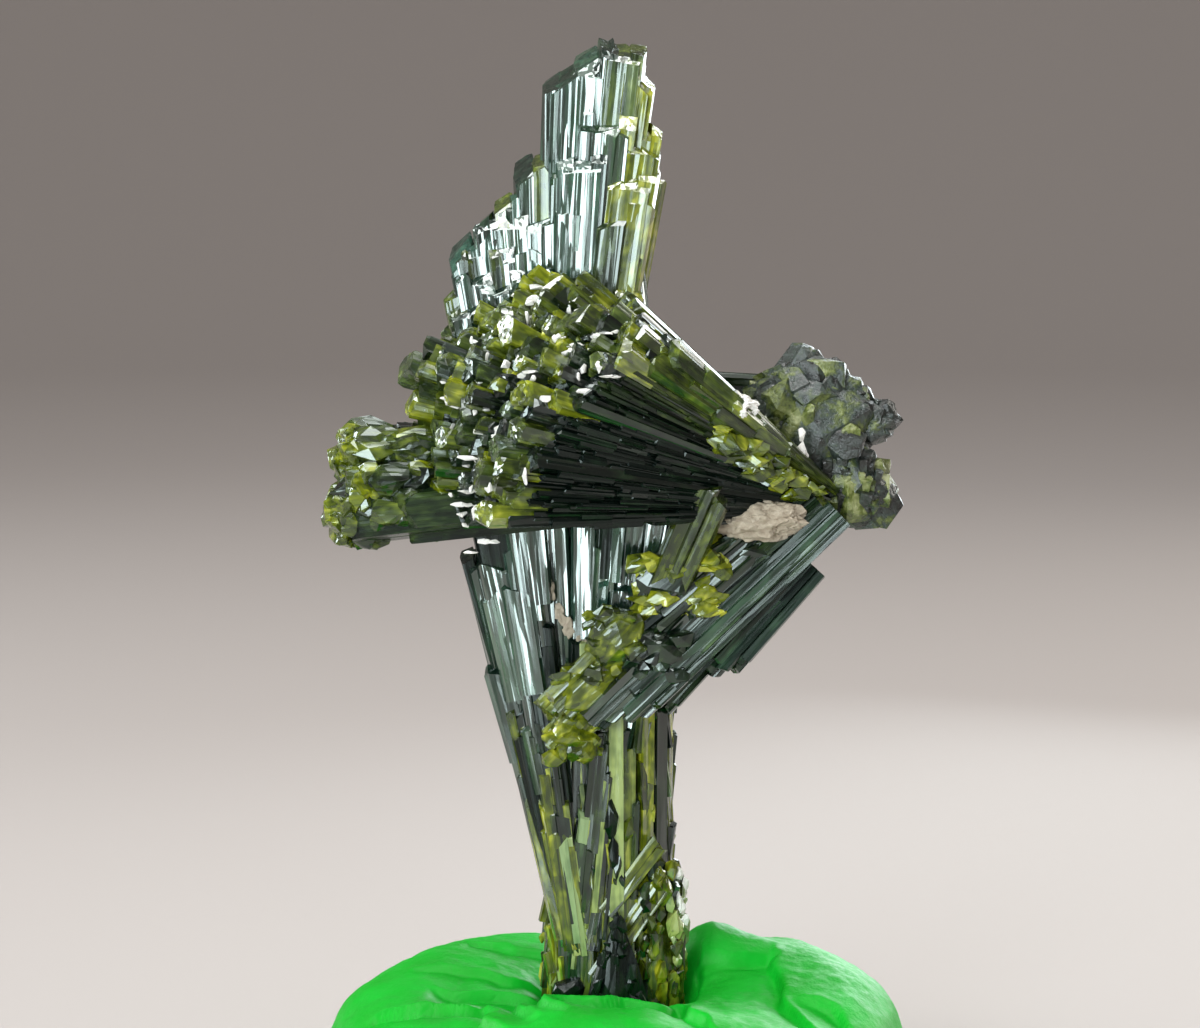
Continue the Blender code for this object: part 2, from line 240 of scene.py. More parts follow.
def mixed(low, high, share):
    return tuple(a + (b - a) * share for a, b in zip(low, high))


def between(limits, share):
    return limits[0] + (limits[1] - limits[0]) * share


def varied(tone, spread=0.12):
    return tuple(clamped(value + swing(spread)) for value in tone)


# Upright fan: tip x, tip z, width, slope of the end, as in the solid

FAN_FOCUS = (-3.05, 15.0)
FAN_ROOT_Z = 24.0
FAN_BACK = (
    (-6.75, 35.4, 1.3, 0.5), (-6.35, 37.4, 1.6, 0.6), (-5.35, 38.6, 1.7, 0.5),
    (-4.55, 39.2, 1.5, 0.4), (-3.65, 40.6, 1.6, 0.6), (-1.75, 44.8, 3.0, 0.65),
    (0.15, 45.5, 2.0, -0.1), (0.80, 44.4, 1.4, -0.8), (1.25, 42.3, 1.1, -0.6),
)
FAN_FRONT = (
    (-6.00, 36.2, 1.8, 0.4), (-4.70, 37.2, 1.8, 0.2), (-3.50, 38.6, 1.8, 0.3),
    (-2.00, 40.9, 1.9, 0.4), (-0.40, 42.6, 2.4, 0.1), (0.85, 41.6, 1.7, -0.1),
)
FAN_FACE = (
    (-6.40, 34.9, 1.7, 0.2), (-5.00, 35.8, 1.9, 0.2), (-3.70, 36.4, 1.9, 0.0),
    (-1.60, 41.0, 2.2, 0.1), (0.55, 40.3, 2.1, 0.2),
)
FAN_REAR = (
    (-5.60, 35.2, 2.3, 0.4), (-3.80, 37.6, 2.2, 0.3),
    (-1.90, 41.6, 2.3, 0.4), (-0.10, 43.2, 2.0, -0.2),
)
FAN_LAYERS = ((FAN_BACK, 1.5, 2.6), (FAN_FRONT, 0.8, 2.5), (FAN_FACE, 0.2, 2.3), (FAN_REAR, 2.6, 2.2))
FAN_HEART = (
    (-5.4, 0.4, 24.0), (2.2, 0.4, 24.0), (-5.0, 2.6, 24.0), (2.0, 2.4, 24.0),
    (-6.4, 0.4, 34.0), (0.5, 0.2, 39.0), (-6.0, 2.4, 33.6), (0.5, 2.4, 39.0),
    (-2.2, 1.0, 42.6), (0.4, 0.9, 43.2), (-2.1, 2.0, 42.6), (0.4, 2.0, 43.2),
)
FAN_SLANT = 0.105
GREEN_SHARE = 0.14
SHINGLE_DROP = (0.5, 9.5)
SHINGLE_LENGTH = (2.5, 7.0)


def radial_root(focus, x, z, root_z):
    """Where the ray from the focus through a tip passes a lower height."""
    return focus[0] + (x - focus[0]) * (root_z - focus[1]) / (z - focus[1])


def fan_tone(x, z):
    """Teal at the left and in the middle, yellow-green and clearer at the right edge."""
    edge = x - (FAN_FOCUS[0] + FAN_SLANT * (z - FAN_FOCUS[1]))
    tone = mixed(TEAL, LIME, clamped((edge + 0.4) / 0.7))
    if draw.random() < GREEN_SHARE:
        tone = GREEN
    return varied(tone)


def root_y(y):
    """Roots lie nearer to each other, front to back, than tips do."""
    return 0.6 * y + 0.4


def blade_rods(x, z, width, slope, y, depth, focus, root_z, tone_at,
               strip=0.7, shingles=2.4, lean=0.3):
    """One broad blade, the strips that step its end, and thin shingles on its two faces."""
    def root_of(tip_x, tip_z, low):
        return radial_root(focus, tip_x, tip_z, low)

    made = [rod((x, y, z - 0.25), (root_of(x, z, root_z), root_y(y), root_z), width, depth,
                tone_at(x, z), slope=(slope, -0.2), front=0.25, turn=swing(0.06))]
    count = max(2, round(width / strip))
    for i in range(count):
        off = ((i + 0.5) / count - 0.5) * width
        tip_x = x + off * 0.94
        tip_z = z + slope * off - draw.choice((0.0, 0.0, 0.1, 0.25))
        tip_y = y + swing(0.1)
        made.append(rod(
            (tip_x, tip_y, tip_z), (root_of(tip_x, tip_z, root_z), root_y(tip_y), root_z),
            width / count * draw.uniform(1.1, 1.5), depth * draw.uniform(0.9, 1.0),
            tone_at(tip_x, tip_z), turn=swing(0.08),
            slope=(slope + swing(0.3), draw.uniform(-0.5, 0.1)),
            front=draw.choice((0.0, 0.0, 0.2, 0.5))))
    for side, share in ((-1, 1.0), (1, 0.7)):
        for _ in range(round(width * shingles * share)):
            tip_z = z - draw.uniform(*SHINGLE_DROP)
            shift = x + swing(0.42) * width
            tip_x = focus[0] + (shift - focus[0]) * (tip_z - focus[1]) / (z - focus[1])
            low = tip_z - draw.uniform(*SHINGLE_LENGTH)
            tip_y = y + side * (depth / 2 - draw.uniform(0.12, 0.3))
            made.append(rod(
                (tip_x, tip_y, tip_z), (root_of(tip_x, tip_z, low), tip_y - side * lean, low),
                draw.uniform(0.5, 1.5), draw.uniform(0.4, 0.75), tone_at(tip_x, tip_z),
                facing=FRONT * -side, turn=swing(0.12),
                slope=(swing(0.8), draw.uniform(-0.8, 0.0)), front=draw.choice((0.0, 0.3, 0.7))))
    return made


def parted(solids, index, limit):
    """The solids with one number of their tone below a limit, and the rest."""
    low = [solid for solid in solids if solid[3][index] < limit]
    return low, [solid for solid in solids if solid[3][index] >= limit]


def fan():
    """Four layers of broad blades round a heart, as the silvery body and the yellow edge."""
    draw.seed(41)
    made = [hull_mesh(FAN_HEART, TEAL)]
    for blades, y, depth in FAN_LAYERS:
        for x, z, width, slope in blades:
            made += blade_rods(x, z, width, slope, y, depth, FAN_FOCUS, FAN_ROOT_Z, fan_tone)
    teal, yellow = parted(made, 1, 0.5)
    return gathered("upright_fan", teal), gathered("fan_edge", yellow)


# Lower fan: tip x, tip z, tip y

SKIRT_FOCUS = (-1.7, 7.0)
SKIRT_ROOT_Z = 11.0
SKIRT_WIDTH = 1.9
SKIRT_DEPTH = 1.9
SKIRT = (
    (-5.75, 24.6, -0.5), (-5.35, 26.2, -1.1), (-4.40, 28.0, -1.3), (-3.30, 28.5, -0.7),
    (-2.00, 28.5, 0.4), (-0.90, 28.5, -0.8), (0.30, 28.5, -1.2), (1.50, 28.5, -0.9),
    (2.30, 28.0, 0.4), (-4.90, 27.0, 2.2), (-2.60, 29.0, 3.0), (-0.20, 28.5, 3.1),
    (1.70, 28.0, 2.3),
)
SKIRT_DEEP = -2.00
# Middle and radii of the recess, whose rods are painted nearly black as shade
SKIRT_RECESS = (-2.1, 22.3)
RECESS_RADII = (1.3, 3.4)
SKIRT_DARKEST = 0.2


def skirt_tone_and_shade(x, z):
    """Teal above, olive below, and nearly black with painted shade in the recess in the middle."""
    tone = mixed(TEAL, OLIVE, clamped((18.0 - z) / 5.0))
    near = math.hypot((x - SKIRT_RECESS[0]) / RECESS_RADII[0], (z - SKIRT_RECESS[1]) / RECESS_RADII[1])
    # Painted shade: rods in the recess turn nearly black; a few others do so at random
    if near < 1 or draw.random() < 0.15:
        tone = mixed(tone, BLACK_AND_SHADE, 0.8)
    return varied(tone)


# Painted shade: every rod of the deepest blade is nearly black
def recess_shade_tone(x, z):
    return varied(BLACK_AND_SHADE, 0.06)


def skirt():
    """The lower fan. The blade that lies deepest and what surrounds it is dark with painted shade."""
    draw.seed(52)
    made = []
    for x, z, y in SKIRT:
        tone_at = recess_shade_tone if x == SKIRT_DEEP else skirt_tone_and_shade
        made += blade_rods(x, z, SKIRT_WIDTH, 0.3, y, SKIRT_DEPTH, SKIRT_FOCUS, SKIRT_ROOT_Z,
                           tone_at, strip=0.45, shingles=7.0, lean=-0.05)
    shaded, silver = parted(made, 0, SKIRT_DARKEST)
    # The nearly black rods, most of them painted shade in the recess, make one piece
    return gathered("lower_fan", silver), gathered("recess", shaded)


SKIRT_FOOT_STRIPS = 24
SKIRT_FOOT_TOP = (11.8, 18.0)
SKIRT_FOOT_LOW = (7.6, 9.6)


def skirt_foot():
    """Thin olive crystals that cover the lower ends of the lower fan and lead over to the trunk."""
    draw.seed(54)
    made = []
    for x, z, y in SKIRT:
        for i in range(SKIRT_FOOT_STRIPS):
            side = 1 if i % 3 == 2 else -1
            top, low = draw.uniform(*SKIRT_FOOT_TOP), draw.uniform(*SKIRT_FOOT_LOW)
            if i % 2:
                low = top - draw.uniform(2.0, 5.0)
            shift = swing(0.5)
            outside = y + side * 0.52 * SKIRT_DEPTH
            at_trunk = TRUNK_MIDDLE[1] + side * (TRUNK_RADII[1] + 0.3)
            share = clamped((SKIRT_ROOT_Z + 1.0 - low) / 4.0)
            made.append(rod(
                (radial_root(SKIRT_FOCUS, x, z, top) + shift, outside, top),
                (radial_root(SKIRT_FOCUS, x, z, low) + shift, between((outside, at_trunk), share), low),
                draw.uniform(0.3, 0.8), draw.uniform(0.4, 0.7), trunk_tone(),
                facing=FRONT * -side, turn=swing(0.15), slope=(swing(0.8), -0.3)))
    return gathered("skirt_foot", made)


SEAM = ((-3.3, -2.0, 25.1), (-3.1, -2.0, 23.8), (-2.7, -1.95, 22.4), (-2.1, -1.75, 21.2), (-1.4, -1.8, 20.7))
SEAM_GRAINS = 7


def pale_seam():
    """Small tan grains along the left and lower rim of the dark recess."""
    draw.seed(57)
    made = []
    for start, end in zip(SEAM, SEAM[1:]):
        for _ in range(SEAM_GRAINS):
            spot = Vector(start).lerp(Vector(end), draw.random())
            spot += Vector([swing(0.1) for _ in range(3)])
            size = draw.uniform(0.12, 0.26)
            made.append(grain(spot, size, (1, 0.8, 1.6), PALE_AND_HIGHLIGHT))
    return gathered("pale_seam", made)


# Trunk: rods round a middle line

TRUNK_MIDDLE = (-0.5, 0.2)
TRUNK_RADII = (2.1, 1.9)
TRUNK_BOTTOM = 3.0
TRUNK_CORE = (1.9, 1.8)
TRUNK_CORE_TOP = 24.0
TRUNK_RODS = 30
TRUNK_SHINGLES = 170
TRUNK_GRAINS = 120
FOOT = (
    (0.0, -2.0, 3.2), (0.0, 1.8, 3.2), (1.9, -1.2, 3.2), (1.9, 1.1, 3.2),
    (2.7, -0.9, 5.8), (2.7, 0.8, 5.8), (2.8, -0.6, 8.2), (2.7, 0.7, 8.2),
    (2.1, -0.7, 11.6), (2.1, 0.6, 11.6), (0.0, -1.5, 12.0), (0.0, 1.5, 12.0),
    (1.5, -1.8, 8.4), (1.7, -1.9, 5.4),
)


def trunk_tone():
    tone = draw.choice((OLIVE, OLIVE, GREEN, LIME, DARK, DARK, PALE_AND_HIGHLIGHT))
    return varied(tone, 0.16)


def round_trunk(angle, share=1.0, beyond=0.0, radii=TRUNK_RADII):
    """The point at an angle round the trunk's middle, at a share of its radii or beyond them."""
    return (TRUNK_MIDDLE[0] + (radii[0] * share + beyond) * math.cos(angle),
            TRUNK_MIDDLE[1] + (radii[1] * share + beyond) * math.sin(angle))


def trunk():
    """A fused core with striated rods all round it, then thin crystals and grains on them."""
    draw.seed(63)
    ring = [(*round_trunk(2 * math.pi * i / 10, radii=TRUNK_CORE), height)
            for height in (TRUNK_BOTTOM + 0.4, TRUNK_CORE_TOP) for i in range(10)]
    made = [hull_mesh(ring, OLIVE), hull_mesh(FOOT, OLIVE)]
    for i in range(TRUNK_RODS):
        angle = 2 * math.pi * (i + swing(0.3)) / TRUNK_RODS
        x, y = round_trunk(angle, draw.uniform(0.94, 1.04))
        low = TRUNK_BOTTOM + draw.uniform(0, 0.6)
        made.append(rod(
            (x + swing(0.15), y, draw.uniform(14.0, 21.0)), (x, y, low),
            draw.uniform(0.5, 0.9), draw.uniform(0.9, 1.3), trunk_tone(),
            facing=Vector((math.cos(angle), math.sin(angle), 0)), turn=math.radians(swing(14)),
            root_share=1.0))
    for _ in range(TRUNK_SHINGLES):
        angle = draw.uniform(0, 2 * math.pi)
        x, y = round_trunk(angle, beyond=0.42)
        top = draw.uniform(5.5, 21.0)
        low = max(TRUNK_BOTTOM + 0.3, top - draw.uniform(1.5, 4.5))
        lean = swing(0.25)
        made.append(rod(
            (x + lean, y, top), (x - lean, y, low), draw.uniform(0.22, 0.5), draw.uniform(0.35, 0.6),
            trunk_tone(), facing=Vector((math.cos(angle), math.sin(angle), 0)),
            slope=(swing(0.6), -0.3)))
    for _ in range(TRUNK_GRAINS):
        angle = draw.uniform(0, 2 * math.pi)
        spot = (*round_trunk(angle, beyond=draw.uniform(0.5, 0.62)), draw.uniform(4.5, 20.0))
        size = draw.uniform(0.16, 0.34)
        made.append(lump(spot, (size, size, size * draw.uniform(1.0, 3.0)), trunk_tone(), 12))
    return gathered("trunk", made)


BLACK_WEDGE = (
    (-0.13, -2.9, 9.7), (-1.7, -2.6, 5.0), (1.4, -2.7, 5.0), (-0.2, -3.5, 6.0),
    (-0.9, -1.2, 5.0), (0.6, -1.2, 5.0), (0.0, -1.2, 9.2), (0.75, -2.9, 7.4), (-0.9, -3.0, 7.0),
)
BLACK_GRAINS = (
    ((-2.0, -1.8, 11.5), 0.5), ((-1.7, -2.1, 13.0), 0.45), ((-0.4, -2.4, 13.4), 0.5),
    ((-0.3, -2.4, 12.0), 0.4), ((1.4, -2.0, 11.2), 0.4), ((-1.8, -2.0, 9.8), 0.4),
)
BLACK_KNOB = ((-2.1, -1.8, 6.0), (0.8, 0.8, 0.85))
WEDGE_GRAINS = 40


def black_inclusions():
    """The black wedge and knob at the foot, and black grains higher up."""
    draw.seed(68)
    made = [hull_mesh(BLACK_WEDGE, BLACK_AND_SHADE, (0.1, 0, 1)), lump(*BLACK_KNOB, BLACK_AND_SHADE, 30)]
    for _ in range(WEDGE_GRAINS):
        high = draw.random()
        spot = (-0.15 + swing(1) * (1.0 - high) * 1.3, -2.95 + swing(0.2), 5.2 + 4.2 * high)
        size = draw.uniform(0.2, 0.42)
        made.append(grain(spot, size, (1, 0.8, 1.5), BLACK_AND_SHADE))
    for spot, size in BLACK_GRAINS:
        made.append(grain(spot, size, (0.7, 0.6, 1.8), BLACK_AND_SHADE, 18))
    return gathered("black_inclusions", made)


PALE_GRAINS = 110
PALE_Z = (4.6, 11.2)
PALE_SIDES = (-115, 60)


def foot_grains_and_highlight():
    """Broken grains on the right of the foot; many at its upper right are pale, as a painted highlight."""
    draw.seed(69)
    made = []
    for _ in range(PALE_GRAINS):
        z = draw.uniform(*PALE_Z)
        angle = math.radians(draw.uniform(*PALE_SIDES))
        wide = 1.15 + 0.25 * math.sin(math.pi * (z - PALE_Z[0]) / 6.6)
        spot = Vector((1.25 + wide * math.cos(angle), -0.2 + 1.75 * math.sin(angle), z))
        size = draw.uniform(0.3, 0.75)
        # Painted highlight: many grains at the upper right are pale
        pale = spot.x > 1.9 and z > 7 and draw.random() < 0.6
        tone = varied(PALE_AND_HIGHLIGHT if pale else draw.choice((OLIVE, LIME, OLIVE, DARK)), 0.15)
        made.append(grain(spot, size, (0.6, 0.6, 1), tone, 14, (0.3, 0, 1)))
    return gathered("foot_grains_and_highlight", made)


# Cross sheaf: a bouquet that spreads from its focus to the left and front

CROSS_FOCUS = Vector((10.2, -0.4, 26.1))
CROSS_STUB = 1.7
CROSS_RISE = (2.0, 40.0)
CROSS_TURN = (3.0, 27.0)
CROSS_REAR_REACH = (
    (0.0, 17.8), (10.0, 19.4), (18.0, 20.1), (26.0, 18.9), (36.0, 17.2), (41.0, 14.2))
CROSS_FRONT_REACH = ((0.0, 17.2), (20.0, 16.2), (41.0, 13.2))
CROSS_GRID = (13, 8)
CROSS_TIPS = 190
CROSS_SKIN = 900
# White bits on the sheaf's tips stand partly for white mineral and partly for painted glints
CROSS_CRUST_AND_GLINTS = 140
PATCH_CRUST_AND_GLINTS = 24
CRUST_AND_GLINT_FLAT = (0.6, 2.0)
TIP_OLIVE = (0.52, 0.97, 0.25)
DARK_OLIVE = (0.34, 0.97, 0.05)
CRUST_AND_GLINT_PATCHES = ((18.0, 11.0), (28.0, 22.0), (5.0, 20.0))
BOTTOM_ROW = (-0.03, 0.01)
TOP_ROW = (0.99, 1.045)
EDGE_RODS = ((1.0, 1.0, 1.4), (0.96, 0.75, 1.2), (0.90, 1.05, 1.2), (1.02, 0.5, 1.1))
EDGE_SEGMENTS = (0.93, 0.80, 0.66, 0.52, 0.38)
NECK_GRAINS = 44
NECK_X = (3.6, 8.2)
WHITE_PATCHES = (((2.45, -1.3, 9.6), (0.3, 0.5, 1.5), 9), ((7.5, -2.0, 28.6), (0.15, 0.15, 1.0), 10))


def length_at(table, rise):
    """The length for this rise, on straight lines between a table's rows of rise and length."""
    for (low, short), (high, far) in zip(table, table[1:]):
        if rise <= high:
            return short + (far - short) * (rise - low) / (high - low)
    return table[-1][1]


def cross_ray(rise, turn):
    """The direction of a ray of the sheaf, and how far it reaches."""
    front = (turn - CROSS_TURN[0]) / (CROSS_TURN[1] - CROSS_TURN[0])
    rear, near = length_at(CROSS_REAR_REACH, rise), length_at(CROSS_FRONT_REACH, rise)
    a, b = math.radians(rise), math.radians(turn)
    way = Vector((-math.cos(a) * math.cos(b), -math.sin(b), math.sin(a) * math.cos(b)))
    return way, rear + (near - rear) * front


def cross_place(high, front):
    """The rise and turn of a place in the sheaf, from shares of its height and of its width."""
    return between(CROSS_RISE, high), between(CROSS_TURN, front)


def cross_rod(rise, turn, reach_share, width, tone, length=None, lean=0.6, **looks):
    """A rod of the sheaf along its ray, as long as the ray or only its last part."""
    way, reach = cross_ray(rise, turn)
    reach *= reach_share
    low = CROSS_STUB if length is None else max(CROSS_STUB, reach - length)
    share = max(0.3, low / reach)
    return rod(
        CROSS_FOCUS + way * reach, CROSS_FOCUS + way * low, width, width * draw.uniform(0.7, 1.0),
        tone, turn=draw.uniform(0, math.pi), root_share=share,
        slope=(swing(lean), swing(lean)), **looks)


def cross_tone_and_shade(high, front):
    """Olive towards the rear and the top, and nearly black with painted shade on the side that faces front.
    """
    tone = mixed(OLIVE, BLACK_AND_SHADE, clamped(1.5 * front + 0.5 * (1 - high) - 0.55))
    return varied(tone, 0.15)


def cross_bouquet():
    """The sheaf's heart, its rods on a grid and the many tips between them."""
    rods, heart = [], []
    rows, columns = CROSS_GRID
    for row in range(rows):
        for column in range(columns):
            high, front = row / (rows - 1), (column + 0.5 * (row % 2)) / (columns - 0.5)
            rise, turn = cross_place(high, front)
            way, reach = cross_ray(rise, turn)
            heart += [CROSS_FOCUS + way * CROSS_STUB, CROSS_FOCUS + way * reach * 0.93]
            rods.append(cross_rod(
                rise + swing(1.2), turn + swing(1.2), draw.uniform(0.93, 1.0),
                draw.uniform(0.9, 1.6) * (1 - 0.4 * front), cross_tone_and_shade(high, front), lean=0.35,
                corners=4, step=0.2))
    for _ in range(CROSS_TIPS):
        high, front = draw.random(), draw.random()
        rods.append(cross_rod(
            *cross_place(high, front), draw.uniform(0.94, 1.02), draw.uniform(0.5, 1.4),
            varied(mixed(TIP_OLIVE, DARK, draw.random() ** 3), 0.15),
            length=draw.uniform(1.5, 3.5), lean=0.4, corners=4, step=0.18))
    # The heart is nearly black: painted shade in the gaps between the rods
    return [hull_mesh(heart, BLACK_AND_SHADE, (0.95, 0.2, -0.2))] + rods


def cross_skin():
    """Thin crystals on the sheaf's side of painted shade, nearer black lower down, then on its upper and
    lower edge; those on the lower edge are painted black as shade.
    """
    skin = []
    for _ in range(CROSS_SKIN):
        high, front = draw.random() ** 0.9, draw.uniform(0.99, 1.07)
        # Painted shade: the lower on the front side, the nearer black the skin
        fade = clamped(2.6 - 3.0 * high)
        skin.append(cross_rod(
            *cross_place(high, front), draw.uniform(0.30, 0.95), draw.uniform(0.16, 0.36),
            varied(mixed(DARK_OLIVE, BLACK_AND_SHADE, fade), 0.06), length=draw.uniform(0.8, 3.6), step=0.16))
    for _ in range(CROSS_SKIN // 3):
        high, front = draw.choice((draw.uniform(*BOTTOM_ROW), draw.uniform(*TOP_ROW))), draw.random()
        # Painted shade: rods on the lower edge are black
        tone = mixed(DARK_OLIVE, LIME, draw.random() ** 2) if high > 0.5 else BLACK_AND_SHADE
        skin.append(cross_rod(
            *cross_place(high, front), draw.uniform(0.4, 0.97), draw.uniform(0.35, 0.75),
            varied(tone, 0.15), length=draw.uniform(1.2, 3.2), step=0.16))
    return skin


def cross_crust_and_glints():
    """White bits between the tips and in patches on them, partly white mineral and partly painted glints,
    and white bits at two places beside the sheaf.
    """
    crust_and_glints = []
    for _ in range(CROSS_CRUST_AND_GLINTS):
        high, front = draw.uniform(0.1, 0.95), draw.uniform(0.05, 0.85)
        way, reach = cross_ray(*cross_place(high, front))
        spot = CROSS_FOCUS + way * reach * draw.uniform(0.94, 0.985)
        if noise.noise(spot * 0.45) > 0.0:
            size, flat = draw.uniform(0.12, 0.32), draw.uniform(*CRUST_AND_GLINT_FLAT)
            crust_and_glints.append(lump(spot, (size * flat, size, size / flat), PALE_AND_HIGHLIGHT, 12))
    for rise, turn in CRUST_AND_GLINT_PATCHES:
        for _ in range(PATCH_CRUST_AND_GLINTS):
            way, reach = cross_ray(rise + draw.gauss(0, 3.2), turn + draw.gauss(0, 3.2))
            size, flat = draw.uniform(0.10, 0.27), draw.uniform(*CRUST_AND_GLINT_FLAT)
            spot = CROSS_FOCUS + way * reach * draw.uniform(0.95, 1.0)
            crust_and_glints.append(lump(spot, (size * flat, size, size / flat), PALE_AND_HIGHLIGHT, 12))
    for middle, sizes, count in WHITE_PATCHES:
        for _ in range(count):
            spot = Vector(middle) + Vector([swing(1) * s for s in sizes])
            size = draw.uniform(0.14, 0.32)
            crust_and_glints.append(grain(spot, size, (1, 0.7, 1.5), PALE_AND_HIGHLIGHT))
    return crust_and_glints


def cross_sheaf():
    """The bouquet, its side of painted shade with the rods on its upper edge, and the white bits, partly
    painted glints.
    """
    draw.seed(74)
    made = cross_bouquet()
    skin = cross_skin()
    crust_and_glints = cross_crust_and_glints()
    for high, front, width in EDGE_RODS:
        for share in EDGE_SEGMENTS:
            skin.append(cross_rod(
                *cross_place(high + swing(0.03), front), share, width * (0.45 + 0.6 * share),
                varied(mixed(OLIVE, DARK, 0.3)), length=3.6, lean=0.4, corners=5, step=0.18))
    for _ in range(NECK_GRAINS):
        spot = Vector((draw.uniform(*NECK_X), 0, 0))
        spot.z = 30.0 - 0.68 * (spot.x - NECK_X[0]) + draw.uniform(-0.6, 0.4)
        spot.y = CROSS_FOCUS.y - 0.66 * (CROSS_FOCUS.x - spot.x) - draw.uniform(0.0, 0.2)
        size = draw.uniform(0.35, 0.7)
        tone = varied(mixed(OLIVE, LIME, draw.random()))
        made.append(grain(spot, size, (1.3, 0.6, 0.7), tone, 14, (0.8, 0, -0.6)))
    return gathered("cross_sheaf", made), gathered("painted_shade_side", skin), gathered("white_crust_and_glints", crust_and_glints)


# Left lobes, diagonal sheaf and single rods: tip, root, width, depth, as in the solid

LEFT_BARRELS = (
    ((-12.2, -2.5, 26.35), (-1.0, -1.9, 27.4), 3.0, 3.2),
    ((-11.8, -2.0, 28.8), (-1.0, -1.3, 28.3), 2.2, 2.7),
    ((-11.2, -3.2, 27.4), (-1.0, -2.2, 27.6), 1.9, 2.0),
)
DIAGONAL = (
    ((-3.1, -2.9, 17.8), (4.4, -1.6, 25.0), 1.7, 1.9),
    ((-3.0, -2.6, 16.5), (3.0, -1.4, 22.2), 1.5, 1.9),
    ((-1.6, -3.3, 17.3), (4.0, -2.6, 22.8), 1.4, 1.6),
    ((0.1, -3.3, 17.9), (9.0, -1.9, 26.2), 1.6, 1.8),
    ((-0.6, -3.0, 19.6), (8.2, -1.5, 26.6), 1.7, 1.9),
    ((1.2, -3.2, 21.6), (7.4, -1.3, 26.6), 1.6, 1.8),
    ((2.6, -2.6, 23.4), (6.4, -1.2, 25.6), 1.7, 1.8),
    ((3.8, -2.7, 19.4), (8.0, -1.5, 23.9), 1.4, 1.5),
    ((1.0, -1.2, 17.8), (8.2, 0.2, 25.4), 1.9, 2.2),
    ((0.6, 0.8, 18.8), (8.2, 1.3, 26.6), 1.9, 2.2),
)
GREEN_ROD = ((3.8, -3.9, 27.7), (1.6, -2.6, 22.4), 2.0, 1.5)
BEHIND_ROD = ((-1.5, 1.7, 31.6), (8.0, 1.1, 31.2), 1.1, 1.3)
FOOT_RODS = (
    ((1.9, -1.5, 10.8), (-1.0, -1.9, 6.6), 1.0, 1.0),
    ((1.7, -1.6, 12.4), (-0.6, -1.9, 9.4), 0.9, 1.0),
)


def split_rod(tip, root, width, depth, tone, strip=0.6, drop=0.6):
    """Strips that together fill a thick crystal, on a grid across its section."""
    tip, root = Vector(tip), Vector(root)
    along = (tip - root).normalized()
    across = along.cross(FRONT).normalized()
    out = across.cross(along)
    columns, layers = max(2, round(width / strip)), max(2, round(depth / (strip * 1.4)))
    made = [rod(tip - along * drop, root, width * 0.86, depth * 0.86, tone)]
    for i in range(columns):
        for j in range(layers):
            x = ((i + 0.5) / columns - 0.5) * width * 0.9
            y = ((j + 0.5) / layers - 0.5) * depth * 0.9
            corner = abs(x) > width * 0.25 and abs(y) > depth * 0.2
            shift = across * x + out * y
            short = draw.uniform(0, drop) + (0.35 if corner else 0.0)
            made.append(rod(
                tip + shift - along * short, root + shift * 0.9,
                width / columns * 1.15, depth / layers * 1.15, varied(tone),
                turn=swing(0.4), slope=(swing(0.5), swing(0.5))))
    return made


LOBE_SLIM_RODS = 4
LOBE_SIDE_GRAINS = 30
LOBE_END_GRAINS = 34
LOBE_BALL_BACK = 0.42


def rounded_rod(tip, root, width, depth, tone):
    """A broad crystal with a rounded end of many faces, slimmer ones beside it and grains on its end."""
    tip, root = Vector(tip), Vector(root)
    along = (tip - root).normalized()
    across = along.cross(FRONT).normalized()
    ball = (0.45 * width, 0.5 * depth, 0.5 * width)
    middle = tip - along * LOBE_BALL_BACK * width
    # The sides are painted shade: their tone is mixed over halfway to black
    shade = mixed(tone, BLACK_AND_SHADE, 0.55)
    sides = [rod(tip - along * 0.35 * width, root, width, depth, shade, corners=6, step=0.2)]
    ends = [lump(middle, ball, tone, 60, along)]
    for _ in range(LOBE_SLIM_RODS):
        shift = Vector((0, swing(0.4) * depth, swing(0.4) * width))
        size = draw.uniform(0.3, 0.6)
        sides.append(rod(
            tip + shift - along * draw.uniform(1.6, 5.0), root + shift, width * size, depth * size,
            varied(shade), corners=5, turn=swing(0.5), step=0.16))
    for _ in range(LOBE_SIDE_GRAINS):
        angle = draw.uniform(0, 2 * math.pi)
        spot = tip - along * draw.uniform(1.3, 4.6)
        spot = spot + across * 0.42 * width * math.cos(angle) + FRONT * 0.42 * depth * math.sin(angle)
        size = draw.uniform(0.4, 0.8)
        grain_tone = varied(mixed(shade, tone, draw.random()))
        ends.append(grain(spot, size, (1.5, 1, 1), grain_tone, 22, along))
    for _ in range(LOBE_END_GRAINS):
        way = Vector((draw.uniform(-1, 0.6), draw.gauss(0, 0.6), draw.gauss(0, 0.6))).normalized()
        size = draw.uniform(0.4, 0.75)
        grain_tone = varied(mixed(tone, LIME, 0.7 * draw.random()))
        ends.append(lump(on_ellipsoid(middle, ball, way, 0.78), (size * 0.8, size, size), grain_tone,
                         20, along))
    return ends, sides


def left_lobes():
    """The broad rounded crystals at the left end, as their ends and their sides."""
    draw.seed(85)
    all_ends, all_sides = [], []
    for barrel in LEFT_BARRELS:
        ends, sides = rounded_rod(*barrel, varied(MOSSY, 0.05))
        all_ends += ends
        all_sides += sides
    return gathered("lobe_ends", all_ends), gathered("lobe_sides", all_sides)


